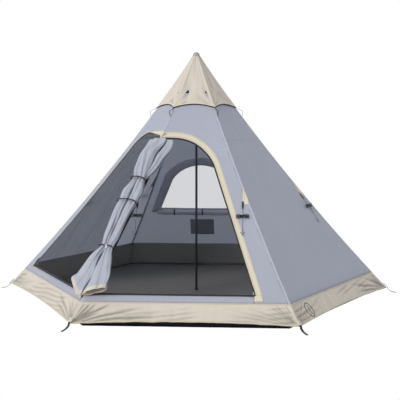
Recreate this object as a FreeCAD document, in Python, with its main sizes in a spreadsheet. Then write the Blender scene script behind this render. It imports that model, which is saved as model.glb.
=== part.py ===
import FreeCAD, Part
import Sketcher
import math
import os
from FreeCAD import Placement, Rotation, Vector

# Hexagonal single-pole tipi tent, millimetres, +Z up, origin on the ground under the pole.
# The six walls share one slightly hollow profile: an arc whose centre lies outside the tent.
# "Face" angles give the compass direction that a wall looks to: 270 is the front.

DIMENSIONS = {
    # walls: arc profile in the vertical plane through the middle of a wall
    "wall_radius": 18750,
    "wall_centre_out": 16036,
    "wall_centre_up": 11995,
    "wall_width": 2100,
    "cloth_thickness": 2.5,
    "seam_gap": 0.3,
    "skirt_top": 200,
    "skirt_low": 40,
    "hem_corner": 50,
    "hem_middle": 70,
    "hem_radius": 21000,
    "sill_height": 250,
    "body_top": 1900,
    # doorway in the front wall, straight right side and round top
    "front_foot": 570,
    "front_shoulder_side": 208,
    "front_shoulder_up": 1246,
    "front_arch_radius": 410,
    "front_arch_side": 189,
    "front_arch_up": 1499,
    "ridge_band_low": 784,
    "ridge_band_high": 252,
    "ridge_band_radius": 22000,
    "binding_width": 50,
    "zip_width": 13,
    # doorway in the front left wall
    "left_foot": 695,
    "left_shoulder_side": 255,
    "left_shoulder_up": 1359,
    "left_arch_radius": 254,
    "left_arch_side": 60,
    "left_arch_up": 1541,
    "left_ridge_high": 238,
    # rear window
    "window_foot": 450,
    "window_low": 690,
    "window_shoulder": 300,
    "window_shoulder_up": 1020,
    "window_arch_radius": 361,
    "frame_foot": 560,
    "frame_low": 640,
    "frame_shoulder": 381,
    "frame_shoulder_up": 1065,
    "frame_arch_radius": 470,
    "cover_roll_radius": 33,
    "cover_roll_length": 980,
    "cover_roll_up": 665,
    "cover_roll_gap": 8,
    "pocket_left": 142,
    "pocket_right": 118,
    "pocket_low": 375,
    "pocket_high": 560,
    # groundsheet tub
    "tub_base": 1450,
    "tub_rim": 1415,
    "tub_height": 248,
    "tub_thickness": 3,
    # cable port
    "port_radius": 60,
    "port_cord": 3,
    "port_side": -623,
    "port_up": 122,
    # rain cap
    "cap_low": 1768,
    "cap_base": 329,
    "cap_waist": 162,
    "cap_waist_up": 2029,
    "cap_top": 2290,
    "cap_tip": 9,
    "cap_scallop_radius": 600,
    "cap_thickness": 2.5,
    "piping_radius": 3.5,
    "piping_drop": 1.5,
    # centre pole
    "pole_radius": 11,
    "pole_wall": 1.2,
    "pole_sections": 4,
    "pole_foot_height": 22,
    "spigot_length": 60,
    "spigot_clearance": 0.1,
    "cup_low": 2196,
    "cup_top": 2262,
    "cup_radius": 18,
}

doc = FreeCAD.newDocument("tipi_tent")
sheet = doc.addObject("Spreadsheet::Sheet", "dims")
for row, (alias, value) in enumerate(DIMENSIONS.items(), start=1):
    sheet.set("A%d" % row, alias)
    sheet.set("B%d" % row, str(value))
    sheet.setAlias("B%d" % row, alias)
doc.recompute()

FACES = {
    "front": 270,
    "front_right": 330,
    "back_right": 30,
    "back": 90,
    "back_left": 150,
    "front_left": 210,
}
RIDGES = (0, 60, 120, 180, 240, 300)
HALF_FACE = math.cos(math.radians(30))
nodes = []


def size(expression):
    """Number that an expression over the sheet has now."""
    return float(sheet.evalExpression(expression))


def keep(item, label):
    """Register an object as a finished sub-part under its own name."""
    item.Label = label
    nodes.append(item)
    return item


def wall_out(height, lift=0.0):
    """Distance from the pole axis to a wall's outer surface, measured square to the wall."""
    radius = size("dims.wall_radius") - lift
    rise = height - size("dims.wall_centre_up")
    return size("dims.wall_centre_out") - math.sqrt(radius ** 2 - rise ** 2)


def ridge_out(height, lift=0.0):
    """Distance from the pole axis to a ridge."""
    return wall_out(height, lift) / HALF_FACE


def on_wall(face, side, height, lift=0.0):
    """Point on a wall, lifted off it along the wall's normal; side runs anticlockwise."""
    rise = size("dims.wall_centre_up") - height
    slope = rise / math.sqrt(size("dims.wall_radius") ** 2 - rise ** 2)
    shorten = 1 / math.sqrt(1 + slope ** 2)
    out = wall_out(height) + lift * shorten
    turn = math.radians(face)
    return Vector(out * math.cos(turn) - side * math.sin(turn),
                  out * math.sin(turn) + side * math.cos(turn),
                  height + lift * slope * shorten)


def on_ridge(ridge, height, out=0.0, along=0.0):
    """Point beside a ridge: out is level and outward, along is level and anticlockwise."""
    turn = math.radians(ridge)
    reach = ridge_out(height) + out
    return Vector(reach * math.cos(turn) - along * math.sin(turn),
                  reach * math.sin(turn) + along * math.cos(turn),
                  height)


# ---------------------------------------------------------------- sketch helpers

def plane(body, role):
    return next(item for item in body.Origin.OriginFeatures if item.Role == role)


def new_sketch(body, name, role):
    sketch = body.newObject("Sketcher::SketchObject", name)
    sketch.AttachmentSupport = [(plane(body, role), "")]
    sketch.MapMode = "FlatFace"
    return sketch


def constrain(sketch, kind, geometry, expression):
    """Add a sized constraint and bind it to the sheet."""
    number = sketch.addConstraint(Sketcher.Constraint(kind, *geometry, size(expression)))
    sketch.setExpression("Constraints[%d]" % number, expression)


def add_arc(sketch, start, end, radius):
    """Arc from start to end; a positive radius turns left. Returns geometry and its ends' order."""
    chord = end - start
    middle = (start + end) * 0.5
    left = Vector(-chord.y, chord.x, 0).normalize()
    drop = math.sqrt(radius ** 2 - (chord.Length / 2) ** 2)
    centre = middle + left * math.copysign(drop, radius)
    begin = math.atan2(start.y - centre.y, start.x - centre.x)
    finish = math.atan2(end.y - centre.y, end.x - centre.x)
    circle = Part.Circle(centre, Vector(0, 0, 1), abs(radius))
    if radius > 0:
        return sketch.addGeometry(Part.ArcOfCircle(circle, begin, finish)), (1, 2)
    return sketch.addGeometry(Part.ArcOfCircle(circle, finish, begin)), (2, 1)


def outline(sketch, corners):
    """Closed outline. A corner is (x, y) or (x, y, radius), the radius of the arc that follows it."""
    points = [Vector(size(corner[0]), size(corner[1]), 0) for corner in corners]
    runs = []
    for index, corner in enumerate(corners):
        start = points[index]
        end = points[(index + 1) % len(points)]
        if len(corner) == 3:
            runs.append(add_arc(sketch, start, end, size(corner[2])))
        else:
            runs.append((sketch.addGeometry(Part.LineSegment(start, end)), (1, 2)))
    for index, (geometry, ends) in enumerate(runs):
        following, following_ends = runs[(index + 1) % len(runs)]
        sketch.addConstraint(Sketcher.Constraint(
            "Coincident", geometry, ends[1], following, following_ends[0]))
        constrain(sketch, "DistanceX", (-1, 1, geometry, ends[0]), corners[index][0])
        constrain(sketch, "DistanceY", (-1, 1, geometry, ends[0]), corners[index][1])
        if len(corners[index]) == 3:
            constrain(sketch, "Radius", (geometry,), "abs(%s)" % corners[index][2])


def pad(body, name, sketch, length):
    """Pad to both sides of the sketch."""
    feature = body.newObject("PartDesign::Pad", name)
    feature.Profile = sketch
    feature.SideType = "Symmetric"
    feature.setExpression("Length", length)
    return feature


def cut(body, name, role, *outlines):
    """Pocket right through, to both sides of an origin plane; must take something away."""
    doc.recompute()
    before = body.Shape.Volume
    sketch = new_sketch(body, name + "_sketch", role)
    for corners in outlines:
        outline(sketch, corners)
    feature = body.newObject("PartDesign::Pocket", name)
    feature.Profile = sketch
    feature.SideType = "Symmetric"
    feature.Type = "ThroughAll"
    doc.recompute()
    if not body.Shape.Volume < before - 1:
        raise ValueError("%s cuts nothing" % name)
    return feature


def mirrored(corners):
    """The same outline on the other side of the vertical axis."""
    flipped = []
    for index in range(len(corners) - 1, -1, -1):
        corner = corners[index]
        previous = corners[index - 1]
        arc = (previous[2],) if len(previous) == 3 else ()
        flipped.append(("-(%s)" % corner[0], corner[1]) + arc)
    return flipped


def field(half_width, low, high):
    """Rectangle symmetric about the vertical axis."""
    return [("-%s" % half_width, low), (half_width, low), (half_width, high), ("-%s" % half_width, high)]


# ---------------------------------------------------------------- wall pieces

WEDGE = [
    ("10 * tan(30 deg) - dims.seam_gap / 2", "-10"),
    ("dims.wall_width * tan(30 deg) - dims.seam_gap / 2", "-dims.wall_width"),
    ("dims.wall_width * 2", "-dims.wall_width"),
    ("dims.wall_width * 2", "-10"),
]
BOARD = field("3000", "-100", "3000")


def wall_body(label, face, low, high, lift="0", thickness="dims.cloth_thickness"):
    """Strip of the wall profile between two heights, cut along both ridges."""
    body = keep(doc.addObject("PartDesign::Body", label), label)
    sketch = new_sketch(body, label + "_profile", "YZ_Plane")
    centre = Vector(-size("dims.wall_centre_out"), size("dims.wall_centre_up"), 0)
    outer_radius = size("dims.wall_radius - (%s)" % lift)
    inner_radius = outer_radius + size(thickness)
    arcs = []
    for radius in (outer_radius, inner_radius):
        begin, end = (math.asin((size(height) - centre.y) / radius) for height in (low, high))
        arcs.append(sketch.addGeometry(Part.ArcOfCircle(
            Part.Circle(centre, Vector(0, 0, 1), radius), begin, end)))
    ends = []
    for position in (1, 2):
        outer_end = sketch.getPoint(arcs[0], position)
        inner_end = sketch.getPoint(arcs[1], position)
        line = sketch.addGeometry(Part.LineSegment(outer_end, inner_end))
        sketch.addConstraint(Sketcher.Constraint("Coincident", line, 1, arcs[0], position))
        sketch.addConstraint(Sketcher.Constraint("Coincident", line, 2, arcs[1], position))
        sketch.addConstraint(Sketcher.Constraint("Horizontal", line))
        ends.append(line)
    sketch.addConstraint(Sketcher.Constraint("Coincident", arcs[0], 3, arcs[1], 3))
    constrain(sketch, "DistanceX", (-1, 1, arcs[0], 3), "-dims.wall_centre_out")
    constrain(sketch, "DistanceY", (-1, 1, arcs[0], 3), "dims.wall_centre_up")
    constrain(sketch, "Radius", (arcs[0],), "dims.wall_radius - (%s)" % lift)
    constrain(sketch, "Radius", (arcs[1],), "dims.wall_radius - (%s) + %s" % (lift, thickness))
    constrain(sketch, "DistanceY", (-1, 1, ends[0], 1), low)
    constrain(sketch, "DistanceY", (-1, 1, ends[1], 1), high)
    pad(body, label + "_pad", sketch, "dims.wall_width")
    cut(body, label + "_ridges", "XY_Plane", WEDGE, mirrored(WEDGE))
    body.Placement = Placement(Vector(), Rotation(Vector(0, 0, 1), face - 270))
    return body


def trim_to(body, name, corners):
    """Keep only what lies inside an outline seen from outside the wall."""
    return cut(body, name, "XZ_Plane", BOARD, corners)


def front_doorway(inset, sill="dims.sill_height"):
    """Front doorway outline, drawn in by an inset; the left side runs beside the ridge."""
    side = "(%s) * 1.06" % inset
    return [
        ("-dims.ridge_band_low + %s * 1.5" % side, "%s + %s" % (sill, inset)),
        ("dims.front_foot - %s" % side, "%s + %s" % (sill, inset)),
        ("dims.front_shoulder_side - %s" % side, "dims.front_shoulder_up",
         "dims.front_arch_radius - (%s)" % inset),
        ("-dims.front_arch_side", "dims.front_arch_up - (%s)" % inset),
        ("-dims.ridge_band_high + %s * 1.5" % side, "dims.front_arch_up - (%s)" % inset,
         "-dims.ridge_band_radius"),
    ]


def left_doorway(inset, sill="dims.sill_height"):
    """Left doorway outline, drawn in by an inset; the right side runs beside the ridge."""
    side = "(%s) * 1.07" % inset
    return [
        ("-dims.left_foot + %s" % side, "%s + %s" % (sill, inset)),
        ("dims.ridge_band_low - %s * 1.5" % side, "%s + %s" % (sill, inset),
         "-dims.ridge_band_radius"),
        ("dims.left_ridge_high - %s * 1.5" % side, "dims.left_arch_up - (%s)" % inset),
        ("-dims.left_arch_side", "dims.left_arch_up - (%s)" % inset,
         "dims.left_arch_radius - (%s)" % inset),
        ("-dims.left_shoulder_side + %s" % side, "dims.left_shoulder_up"),
    ]


def window_outline(kind, inset="0"):
    """Arched outline of the window or its frame, drawn in by an inset."""
    foot = "dims.%s_foot - %s" % (kind, inset)
    low = "dims.%s_low + %s" % (kind, inset)
    shoulder = "dims.%s_shoulder - %s" % (kind, inset)
    shoulder_up = "dims.%s_shoulder_up" % kind
    radius = "dims.%s_arch_radius - %s" % (kind, inset)
    return [
        ("-(%s)" % foot, low),
        (foot, low),
        (shoulder, shoulder_up, radius),
        ("-(%s)" % shoulder, shoulder_up),
    ]


def make_walls():
    walls = {}
    for name, face in FACES.items():
        walls[name] = wall_body("panel_" + name, face, "dims.skirt_top", "dims.body_top")
    cut(walls["front"], "front_opening", "XZ_Plane", front_doorway("0"))
    cut(walls["front_left"], "left_opening", "XZ_Plane", left_doorway("0"))
    cut(walls["back"], "window_opening", "XZ_Plane", window_outline("window"))


def make_skirts():
    """Sewn ground skirts, with hems cut to a shallow curve between the corner pegs."""
    for name, face in FACES.items():
        body = wall_body("skirt_" + name, face, "dims.skirt_low", "dims.skirt_top - 0.3")
        cut(body, name + "_hem", "XZ_Plane", [
            ("-1500", "-200"),
            ("1500", "-200"),
            ("1500", "dims.hem_corner"),
            ("915", "dims.hem_corner", "dims.hem_radius"),
            ("-915", "dims.hem_corner"),
            ("-1500", "dims.hem_corner"),
        ])


def make_doors():
    """Binding and zips around the doorways, and the mesh that closes the left one."""
    binding = wall_body("door_binding", FACES["front"], "dims.sill_height - 45", "1560", "2.3", "2")
    outer = [
        ("-900", "dims.sill_height - 40"),
        ("dims.front_foot + dims.binding_width + 10", "dims.sill_height - 40"),
        ("dims.front_shoulder_side + dims.binding_width * 1.1", "dims.front_shoulder_up + 20",
         "dims.front_arch_radius + dims.binding_width"),
        ("-dims.front_arch_side - 15", "dims.front_arch_up + dims.binding_width"),
        ("-900", "dims.front_arch_up + dims.binding_width"),
    ]
    trim_to(binding, "binding_outer", outer)
    cut(binding, "binding_inner", "XZ_Plane", [
        ("-1200", "dims.sill_height - 60"),
        ("dims.front_foot + 1", "dims.sill_height - 60"),
        ("dims.front_foot + 1", "dims.sill_height"),
        ("dims.front_shoulder_side + 1", "dims.front_shoulder_up", "dims.front_arch_radius + 1"),
        ("-dims.front_arch_side", "dims.front_arch_up + 1"),
        ("-1200", "dims.front_arch_up + 1"),
    ])
    for side, face, doorway in (("front", FACES["front"], front_doorway),
                                ("left", FACES["front_left"], left_doorway)):
        chain = wall_body(side + "_door_zip", face, "dims.sill_height - 5", "1560", "-0.2", "2")
        trim_to(chain, side + "_zip_outer", doorway("0.3"))
        cut(chain, side + "_zip_inner", "XZ_Plane", doorway("dims.zip_width"))
    mesh = wall_body("left_door_mesh", FACES["front_left"], "dims.sill_height - 5", "1560", "-0.6", "1.2")
    trim_to(mesh, "mesh_outer", left_doorway("dims.zip_width + 0.3"))


def make_window():
    pane = wall_body("window_pane", FACES["back"], "600", "1300", "-0.7", "1")
    trim_to(pane, "pane_outer", window_outline("window", "0.5"))
    frame = wall_body("window_frame", FACES["back"], "600", "1300", "-dims.cloth_thickness - 0.3", "1.5")
    trim_to(frame, "frame_outer", window_outline("frame"))
    cut(frame, "frame_inner", "XZ_Plane", window_outline("window"))

    roll = keep(doc.addObject("Part::Cylinder", "window_cover_roll"), "window_cover_roll")
    roll.setExpression("Radius", "dims.cover_roll_radius")
    roll.setExpression("Height", "dims.cover_roll_length")
    inward = size("dims.cover_roll_radius + dims.cover_roll_gap")
    centre = on_wall(FACES["back"], 0, size("dims.cover_roll_up"), -inward)
    half = size("dims.cover_roll_length") / 2
    roll.Placement = Placement(centre + Vector(-half, 0, 0), Rotation(Vector(0, 1, 0), 90))

    pocket = wall_body("inner_pocket", FACES["back"], "300", "620", "-dims.cloth_thickness - 0.3", "2.5")
    trim_to(pocket, "pocket_outer", [
        ("-dims.pocket_right", "dims.pocket_low"),
        ("dims.pocket_left", "dims.pocket_low"),
        ("dims.pocket_left", "dims.pocket_high"),
        ("-dims.pocket_right", "dims.pocket_high"),
    ])


# ---------------------------------------------------------------- groundsheet, cap and mesh cone

def hexagon(sketch, across):
    """Regular hexagon by its distance from centre to side; corners on the ridges."""
    corners = []
    for index in range(6):
        turn = 60 * index
        corners.append(("(%s) / cos(30 deg) * cos(%g deg) + 0" % (across, turn),
                        "(%s) / cos(30 deg) * sin(%g deg) + 0" % (across, turn)))
    outline(sketch, corners)


def raise_sketch(sketch, height):
    sketch.setExpression("AttachmentOffset.Base.z", height)


def pyramid(body, name, kind, sections):
    """Straight-sided hexagonal loft through (across, height) sections."""
    sketches = []
    for index, (across, height) in enumerate(sections):
        sketch = new_sketch(body, "%s_%d" % (name, index), "XY_Plane")
        raise_sketch(sketch, height)
        hexagon(sketch, across)
        sketches.append(sketch)
    doc.recompute()
    feature = body.newObject("PartDesign::" + kind, name)
    feature.Profile = sketches[0]
    feature.Sections = sketches[1:]
    feature.Ruled = True
    doc.recompute()
    return feature


def make_groundsheet():
    body = keep(doc.addObject("PartDesign::Body", "groundsheet"), "groundsheet")
    pyramid(body, "tub_outside", "AdditiveLoft",
            [("dims.tub_base", "0"), ("dims.tub_rim", "dims.tub_height")])
    pyramid(body, "tub_inside", "SubtractiveLoft",
            [("dims.tub_base - dims.tub_thickness", "dims.tub_thickness"),
             ("dims.tub_rim - dims.tub_thickness", "dims.tub_height + 1")])


def cap_shell(body):
    """Hollow six-sided cap, a little hollow at its waist like the walls."""
    wall = "dims.cap_thickness * 1.25"
    pyramid(body, "cap_outside", "AdditiveLoft", [
        ("dims.cap_base", "dims.cap_low"), ("dims.cap_waist", "dims.cap_waist_up"),
        ("dims.cap_tip", "dims.cap_top")])
    pyramid(body, "cap_inside", "SubtractiveLoft", [
        ("dims.cap_base - %s + 0.64" % wall, "dims.cap_low - 1"),
        ("dims.cap_waist - " + wall, "dims.cap_waist_up"),
        ("dims.cap_tip - %s - 3" % wall, "dims.cap_top - 6")])


def arch_cut(body, name):
    """Cut an arched lower edge on each of the cap's sides."""
    half = "dims.cap_base * tan(30 deg) + 8"
    edge = "dims.cap_low + 4"
    for index, turn in enumerate((0, 60, 120)):
        doc.recompute()
        before = body.Shape.Volume
        sketch = new_sketch(body, "%s_sketch_%d" % (name, index), "XZ_Plane")
        sketch.AttachmentOffset = Placement(Vector(), Rotation(Vector(0, 1, 0), turn))
        outline(sketch, [
            ("-(%s)" % half, "dims.cap_low - 40"),
            (half, "dims.cap_low - 40"),
            (half, edge, "dims.cap_scallop_radius"),
            ("-(%s)" % half, edge),
        ])
        pocket = body.newObject("PartDesign::Pocket", "%s_%d" % (name, index))
        pocket.Profile = sketch
        pocket.SideType = "Symmetric"
        pocket.Type = "ThroughAll"
        doc.recompute()
        if not body.Shape.Volume < before - 1:
            raise ValueError("%s cuts nothing" % name)


def make_cap():
    """Rain cap with an arched edge between the ridges, and the piping sewn along that edge."""
    cap = keep(doc.addObject("PartDesign::Body", "rain_cap"), "rain_cap")
    cap_shell(cap)
    arch_cut(cap, "cap_edge")
    edges = []
    half = size("dims.cap_base * tan(30 deg)") - 1
    low = size("dims.cap_low - dims.piping_drop")
    rise = size("dims.cap_scallop_radius - sqrt(dims.cap_scallop_radius ^ 2 - %g ^ 2)" % half)
    steep = size("(dims.cap_base - dims.cap_waist) / (dims.cap_waist_up - dims.cap_low)")
    middle = size("dims.cap_base - dims.cap_thickness * 0.6")

    def out(height):
        return middle - steep * (height - size("dims.cap_low"))

    for face in FACES.values():
        turn = math.radians(face)
        ends = []
        for side, height in ((-half, low), (0, low + rise), (half, low)):
            ends.append(Vector(out(height) * math.cos(turn) - side * math.sin(turn),
                               out(height) * math.sin(turn) + side * math.cos(turn), height))
        arc = Part.Arc(*ends)
        section = Part.Circle(ends[0], arc.tangent(arc.FirstParameter)[0], size("dims.piping_radius")).toShape()
        edges.append(Part.Wire(arc.toShape()).makePipeShell([Part.Wire(section)], True, False))
    feature("cap_piping", Part.makeCompound(edges))


def make_vent_mesh():
    body = keep(doc.addObject("PartDesign::Body", "vent_mesh"), "vent_mesh")
    base = wall_out(size("dims.body_top"))
    pyramid(body, "mesh_outside", "AdditiveLoft",
            [("%g" % base, "dims.body_top + 0.3"), ("dims.cup_radius + 3", "dims.cup_low")])
    pyramid(body, "mesh_inside", "SubtractiveLoft",
            [("%g" % (base - 2), "dims.body_top - 1"), ("dims.cup_radius + 1", "dims.cup_low + 1")])


# ---------------------------------------------------------------- centre pole

def revolved(label, corners):
    """Body of revolution about the vertical axis; corners are (radius, height)."""
    body = keep(doc.addObject("PartDesign::Body", label), label)
    sketch = new_sketch(body, label + "_section", "XZ_Plane")
    outline(sketch, corners)
    feature = body.newObject("PartDesign::Revolution", label + "_turn")
    feature.Profile = sketch
    feature.ReferenceAxis = (sketch, ["V_Axis"])
    feature.Angle = 360
    doc.recompute()
    return body


def make_pole():
    foot_low = "dims.tub_thickness + 2.2"
    revolved("foot_patch", [
        ("0", "dims.tub_thickness"), ("90", "dims.tub_thickness"),
        ("90", "dims.tub_thickness + 2"), ("0", "dims.tub_thickness + 2"),
    ])
    revolved("pole_foot", [
        ("0", foot_low), ("dims.pole_radius + 4", foot_low),
        ("dims.pole_radius + 2", "%s + dims.pole_foot_height" % foot_low),
        ("dims.pole_radius + 0.1", "%s + dims.pole_foot_height" % foot_low),
        ("dims.pole_radius + 0.1", "%s + 5" % foot_low), ("0", "%s + 5" % foot_low),
    ])
    first = "(%s + 5.1)" % foot_low
    count = int(size("dims.pole_sections"))
    step = "((dims.cup_low + 8 - %s) / dims.pole_sections)" % first
    bore = "dims.pole_radius - dims.pole_wall"
    spigot = "%s - dims.spigot_clearance" % bore
    for index in range(count):
        low = "%s + %s * %d" % (first, step, index)
        high = "%s + %s * %d - 0.1" % (first, step, index + 1)
        if index == count - 1:
            top = [("dims.pole_radius", high), (bore, high)]
        else:
            top = [("dims.pole_radius", high),
                   (spigot, high), (spigot, "%s + dims.spigot_length" % high),
                   ("%s - 1" % spigot, "%s + dims.spigot_length" % high)]
        inner = bore if index == count - 1 else "%s - 1" % spigot
        neck = "%s - dims.spigot_length" % high
        lower = [(bore, low), ("dims.pole_radius", low)]
        inside = [(inner, neck), (bore, neck)] if index < count - 1 else []
        revolved("pole_section_%d" % (index + 1), lower + top + inside)
    revolved("apex_cup", [
        ("dims.pole_radius + 0.1", "dims.cup_low"), ("dims.cup_radius", "dims.cup_low"),
        ("dims.cup_radius - 6", "dims.cup_top"), ("0", "dims.cup_top"),
        ("0", "dims.cup_low + 8"), ("dims.pole_radius + 0.1", "dims.cup_low + 8"),
    ])


# ---------------------------------------------------------------- shapes made with Part's functions

def feature(label, shape):
    item = doc.addObject("Part::Feature", label)
    item.Shape = shape
    item.Placement = Placement()
    return keep(item, label)


def around_ridges(shape):
    """Copies of a shape made at ridge 0, turned to all six."""
    copies = []
    for ridge in RIDGES:
        copy = shape.copy()
        copy.rotate(Vector(), Vector(0, 0, 1), ridge)
        copies.append(copy)
    return Part.makeCompound(copies)


def ribbon(profile, width):
    """Strap: (out, height) outline in the plane of ridge 0, spread evenly to both sides."""
    points = [Vector(out, -width / 2, height) for out, height in profile]
    face = Part.Face(Part.makePolygon(points + [points[0]]))
    return face.extrude(Vector(0, width, 0))


def strap(path, thickness):
    """Outline of a strap that follows a path of (out, height) points, thickened upward."""
    lower = [Vector(out, height, 0) for out, height in path]
    upper = []
    for index, point in enumerate(lower):
        before = lower[max(index - 1, 0)]
        after = lower[min(index + 1, len(lower) - 1)]
        run = (after - before).normalize()
        upper.append(point + Vector(-run.y, run.x, 0) * thickness)
    return [(point.x, point.y) for point in lower + upper[::-1]]


# Each guy line hangs from one side of its ridge: (ridge, wall it lies on, side of that wall).
GUY_SIDES = (
    (0, 330, 1),
    (60, 30, 1),
    (120, 150, -1),
    (180, 150, 1),
    (240, 270, -1),
    (300, 270, 1),
)
PATCH_TIP = 1094
PATCH_BASE = 938
PATCH_FIN = 62
PATCH_LIFT = 0.6
PATCH_THICK = 2
TAB_LIFT = 1
TAB_LENGTH = 34
TAB_HALF_WIDTHS = (9, 7)
TAB_THICK = 2.5
RING_HEIGHT = 1693
HOOK_LOW = 1699.5
STRAP_WIDTH = 8
PEG_STRAP_WIDTH = 23


def make_cap_fastenings():
    """Straps from the cap's corners with hooks at their ends, and the rings that they clip to."""
    corner = ridge_out(1772, 8) + 3
    wall = ridge_out(1700)
    slope = [(wall + 16, HOOK_LOW + 14.5), (corner, size("dims.cap_low"))]
    feature("cap_straps", around_ridges(ribbon(strap(slope, -4), STRAP_WIDTH)))
    hook = Part.makeBox(9, 2 * STRAP_WIDTH, 14, Vector(wall + 10, -STRAP_WIDTH, HOOK_LOW))
    feature("cap_hooks", around_ridges(hook))
    low, high = RING_HEIGHT - 10, RING_HEIGHT + 4
    inner, outer = ridge_out(low) + 1.5, ridge_out(low) + 13
    profile = [(ridge_out(high) + 1.5, high), (inner, low), (outer, low + 4), (outer, low + 9)]
    feature("cap_rings", around_ridges(ribbon(profile, 14)))


def make_guy_points():
    """Three-cornered patches beside the ridges, with a webbing tab under each."""
    patches = []
    tabs = []
    for ridge, face, sign in GUY_SIDES:
        tip, base = (sign * (ridge_out(height) / 2 - 1) for height in (PATCH_TIP, PATCH_BASE))
        corners = [on_wall(face, tip, PATCH_TIP, PATCH_LIFT), on_wall(face, base, PATCH_BASE, PATCH_LIFT),
                   on_wall(face, base - sign * PATCH_FIN, PATCH_BASE, PATCH_LIFT)]
        patches.append(plate_out(corners, PATCH_THICK))
        side = guy_side(sign)
        top, foot = TAB_HALF_WIDTHS
        high, low = PATCH_BASE - 2, PATCH_BASE - 2 - TAB_LENGTH
        corners = [on_wall(face, side - top, high, TAB_LIFT), on_wall(face, side + top, high, TAB_LIFT),
                   on_wall(face, side + foot, low, TAB_LIFT), on_wall(face, side - foot, low, TAB_LIFT)]
        tabs.append(plate_out(flatten(corners), TAB_THICK))
    feature("guy_patches", Part.makeCompound(patches))
    feature("guy_tabs", Part.makeCompound(tabs))


def make_peg_straps():
    """Webbing from the skirt's corners down to the ground, for the pegs."""
    hem = ridge_out(size("dims.hem_corner"))
    path = [(hem - 26, 86), (hem + 3, 56), (hem + 14, 30), (hem + 46, 12), (hem + 96, 0.5)]
    feature("peg_straps", around_ridges(ribbon(strap(path, 3), PEG_STRAP_WIDTH)))


# ---------------------------------------------------------------- guy lines

HANK_UP = 840
HANK_HALF_WIDTH = 60
HANK_HALF_HEIGHT = 19
HANK_THICK = 24
CORD_RADIUS = 1.5
HANK_LIFT = 3
KNOT_RADIUS = 4
RUNNER_SIZE = (44, 8, 8)
RUNNER_SEAT = 12
RUNNER_PLAY = 0.4
# Route of a guy line beside its tab: (sideways, height, lift off the wall).
LEAD_ROUTE = ((0, 903, 5.2), (1.5, 882, 7), (0, 858, 8))
TAIL_ROUTE = ((0, 822, 16), (-2, 796, 12), (1.5, 766, 10), (0, 700, 9.5))


def guy_side(sign):
    """Distance of a guy point from the middle of the wall that it lies on."""
    return sign * (ridge_out(PATCH_BASE) / 2 - PATCH_FIN)


def tube(points, radius):
    """Round cord along straight runs joined by tangent arcs."""
    edges = []
    start = points[0]
    for before, corner, after in zip(points, points[1:], points[2:]):
        into = (corner - before).normalize()
        away = (after - corner).normalize()
        turn = into.getAngle(away)
        shorter = min((corner - before).Length, (after - corner).Length)
        reach = 0.45 * shorter
        bend = reach / math.tan(turn / 2)
        first = corner - into * reach
        last = corner + away * reach
        half_way = corner + (away - into).normalize() * bend * (1 / math.cos(turn / 2) - 1)
        edges.append(Part.LineSegment(start, first).toShape())
        edges.append(Part.Arc(first, half_way, last).toShape())
        start = last
    edges.append(Part.LineSegment(start, points[-1]).toShape())
    spine = Part.Wire(edges)
    begin = (points[1] - points[0]).normalize()
    section = Part.Wire(Part.Circle(points[0], begin, radius).toShape())
    return spine.makePipeShell([section], True, False)


def make_guy_lines():
    cords = []
    for ridge, face, sign in GUY_SIDES:
        side = guy_side(sign)

        def route(points):
            return [on_wall(face, side + across, height, lift) for across, height, lift in points]

        bow = []
        for across, up in ((-1, -1), (0, -0.5), (1, -1), (1, 1), (0, 0.5), (-1, 1)):
            bow.append(on_wall(face, side + across * HANK_HALF_WIDTH,
                               HANK_UP + up * HANK_HALF_HEIGHT, HANK_LIFT))
        hank = plate_out(flatten(bow), HANK_THICK)
        feature("guy_hank_%d" % ridge, hank)
        tail = tube(route(TAIL_ROUTE), CORD_RADIUS)
        high, low = route(TAIL_ROUTE)[-2:]
        knot = Part.makeSphere(KNOT_RADIUS, low - Vector(0, 0, KNOT_RADIUS - 0.5))
        cords += [tube(route(LEAD_ROUTE), CORD_RADIUS).cut(hank), tail.cut(hank), knot.cut(tail)]

        upward = (high - low).normalize()
        seat = low + upward * RUNNER_SEAT
        turn = math.radians(face)
        level = Vector(-math.sin(turn), math.cos(turn), 0)
        outward = upward.cross(level).normalize() * -1
        wide, deep, tall = RUNNER_SIZE
        runner = Part.makeBox(wide, deep, tall, Vector(-wide / 2, -deep / 2, 0))
        runner = runner.cut(Part.makeCylinder(CORD_RADIUS + RUNNER_PLAY, 2 * tall, Vector(0, 0, -tall / 2)))
        runner.Placement = Placement(seat, Rotation(level, outward, upward, "ZXY"))
        feature("guy_runner_%d" % ridge, Part.makeCompound([runner]))
        print("runner", ridge, [round(value, 4) for value in upward])
    feature("guy_lines", Part.makeCompound(cords))


def flatten(points):
    """Project points on to the plane of the first three, so that a flat face fits them."""
    origin = points[0]
    normal = (points[2] - points[0]).cross(points[3] - points[0]).normalize()
    return [point - normal * (point - origin).dot(normal) for point in points]


def plate_out(points, thickness):
    """Flat plate thickened away from the pole."""
    face = Part.Face(Part.makePolygon(points + [points[0]]))
    normal = (points[1] - points[0]).cross(points[-1] - points[0]).normalize()
    if normal.dot(Vector(points[0].x, points[0].y, 0)) < 0:
        normal = normal * -1
    return face.extrude(normal * thickness)


# ---------------------------------------------------------------- gathered doors

DOOR_RIDGE = 240
ROLL_LIFT = 14
# Radius of each gathered door at heights down the ridge.
ROLL_SHAPE = ((1490, 36), (1380, 38), (1260, 38), (1120, 27), (1010, 35), (930, 28),
              (840, 24), (750, 24), (660, 28), (585, 27), (500, 42), (420, 54), (320, 62), (240, 64))
TIE_HEIGHTS = (1120, 930, 585)


def ridge_axes(height):
    """Point on the door ridge, with the level, outward normal and downhill directions there."""
    here = on_ridge(DOOR_RIDGE, height)
    downhill = (on_ridge(DOOR_RIDGE, height - 10) - here).normalize()
    turn = math.radians(DOOR_RIDGE)
    level = Vector(-math.sin(turn), math.cos(turn), 0)
    return here, level, downhill.cross(level).normalize(), downhill


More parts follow.
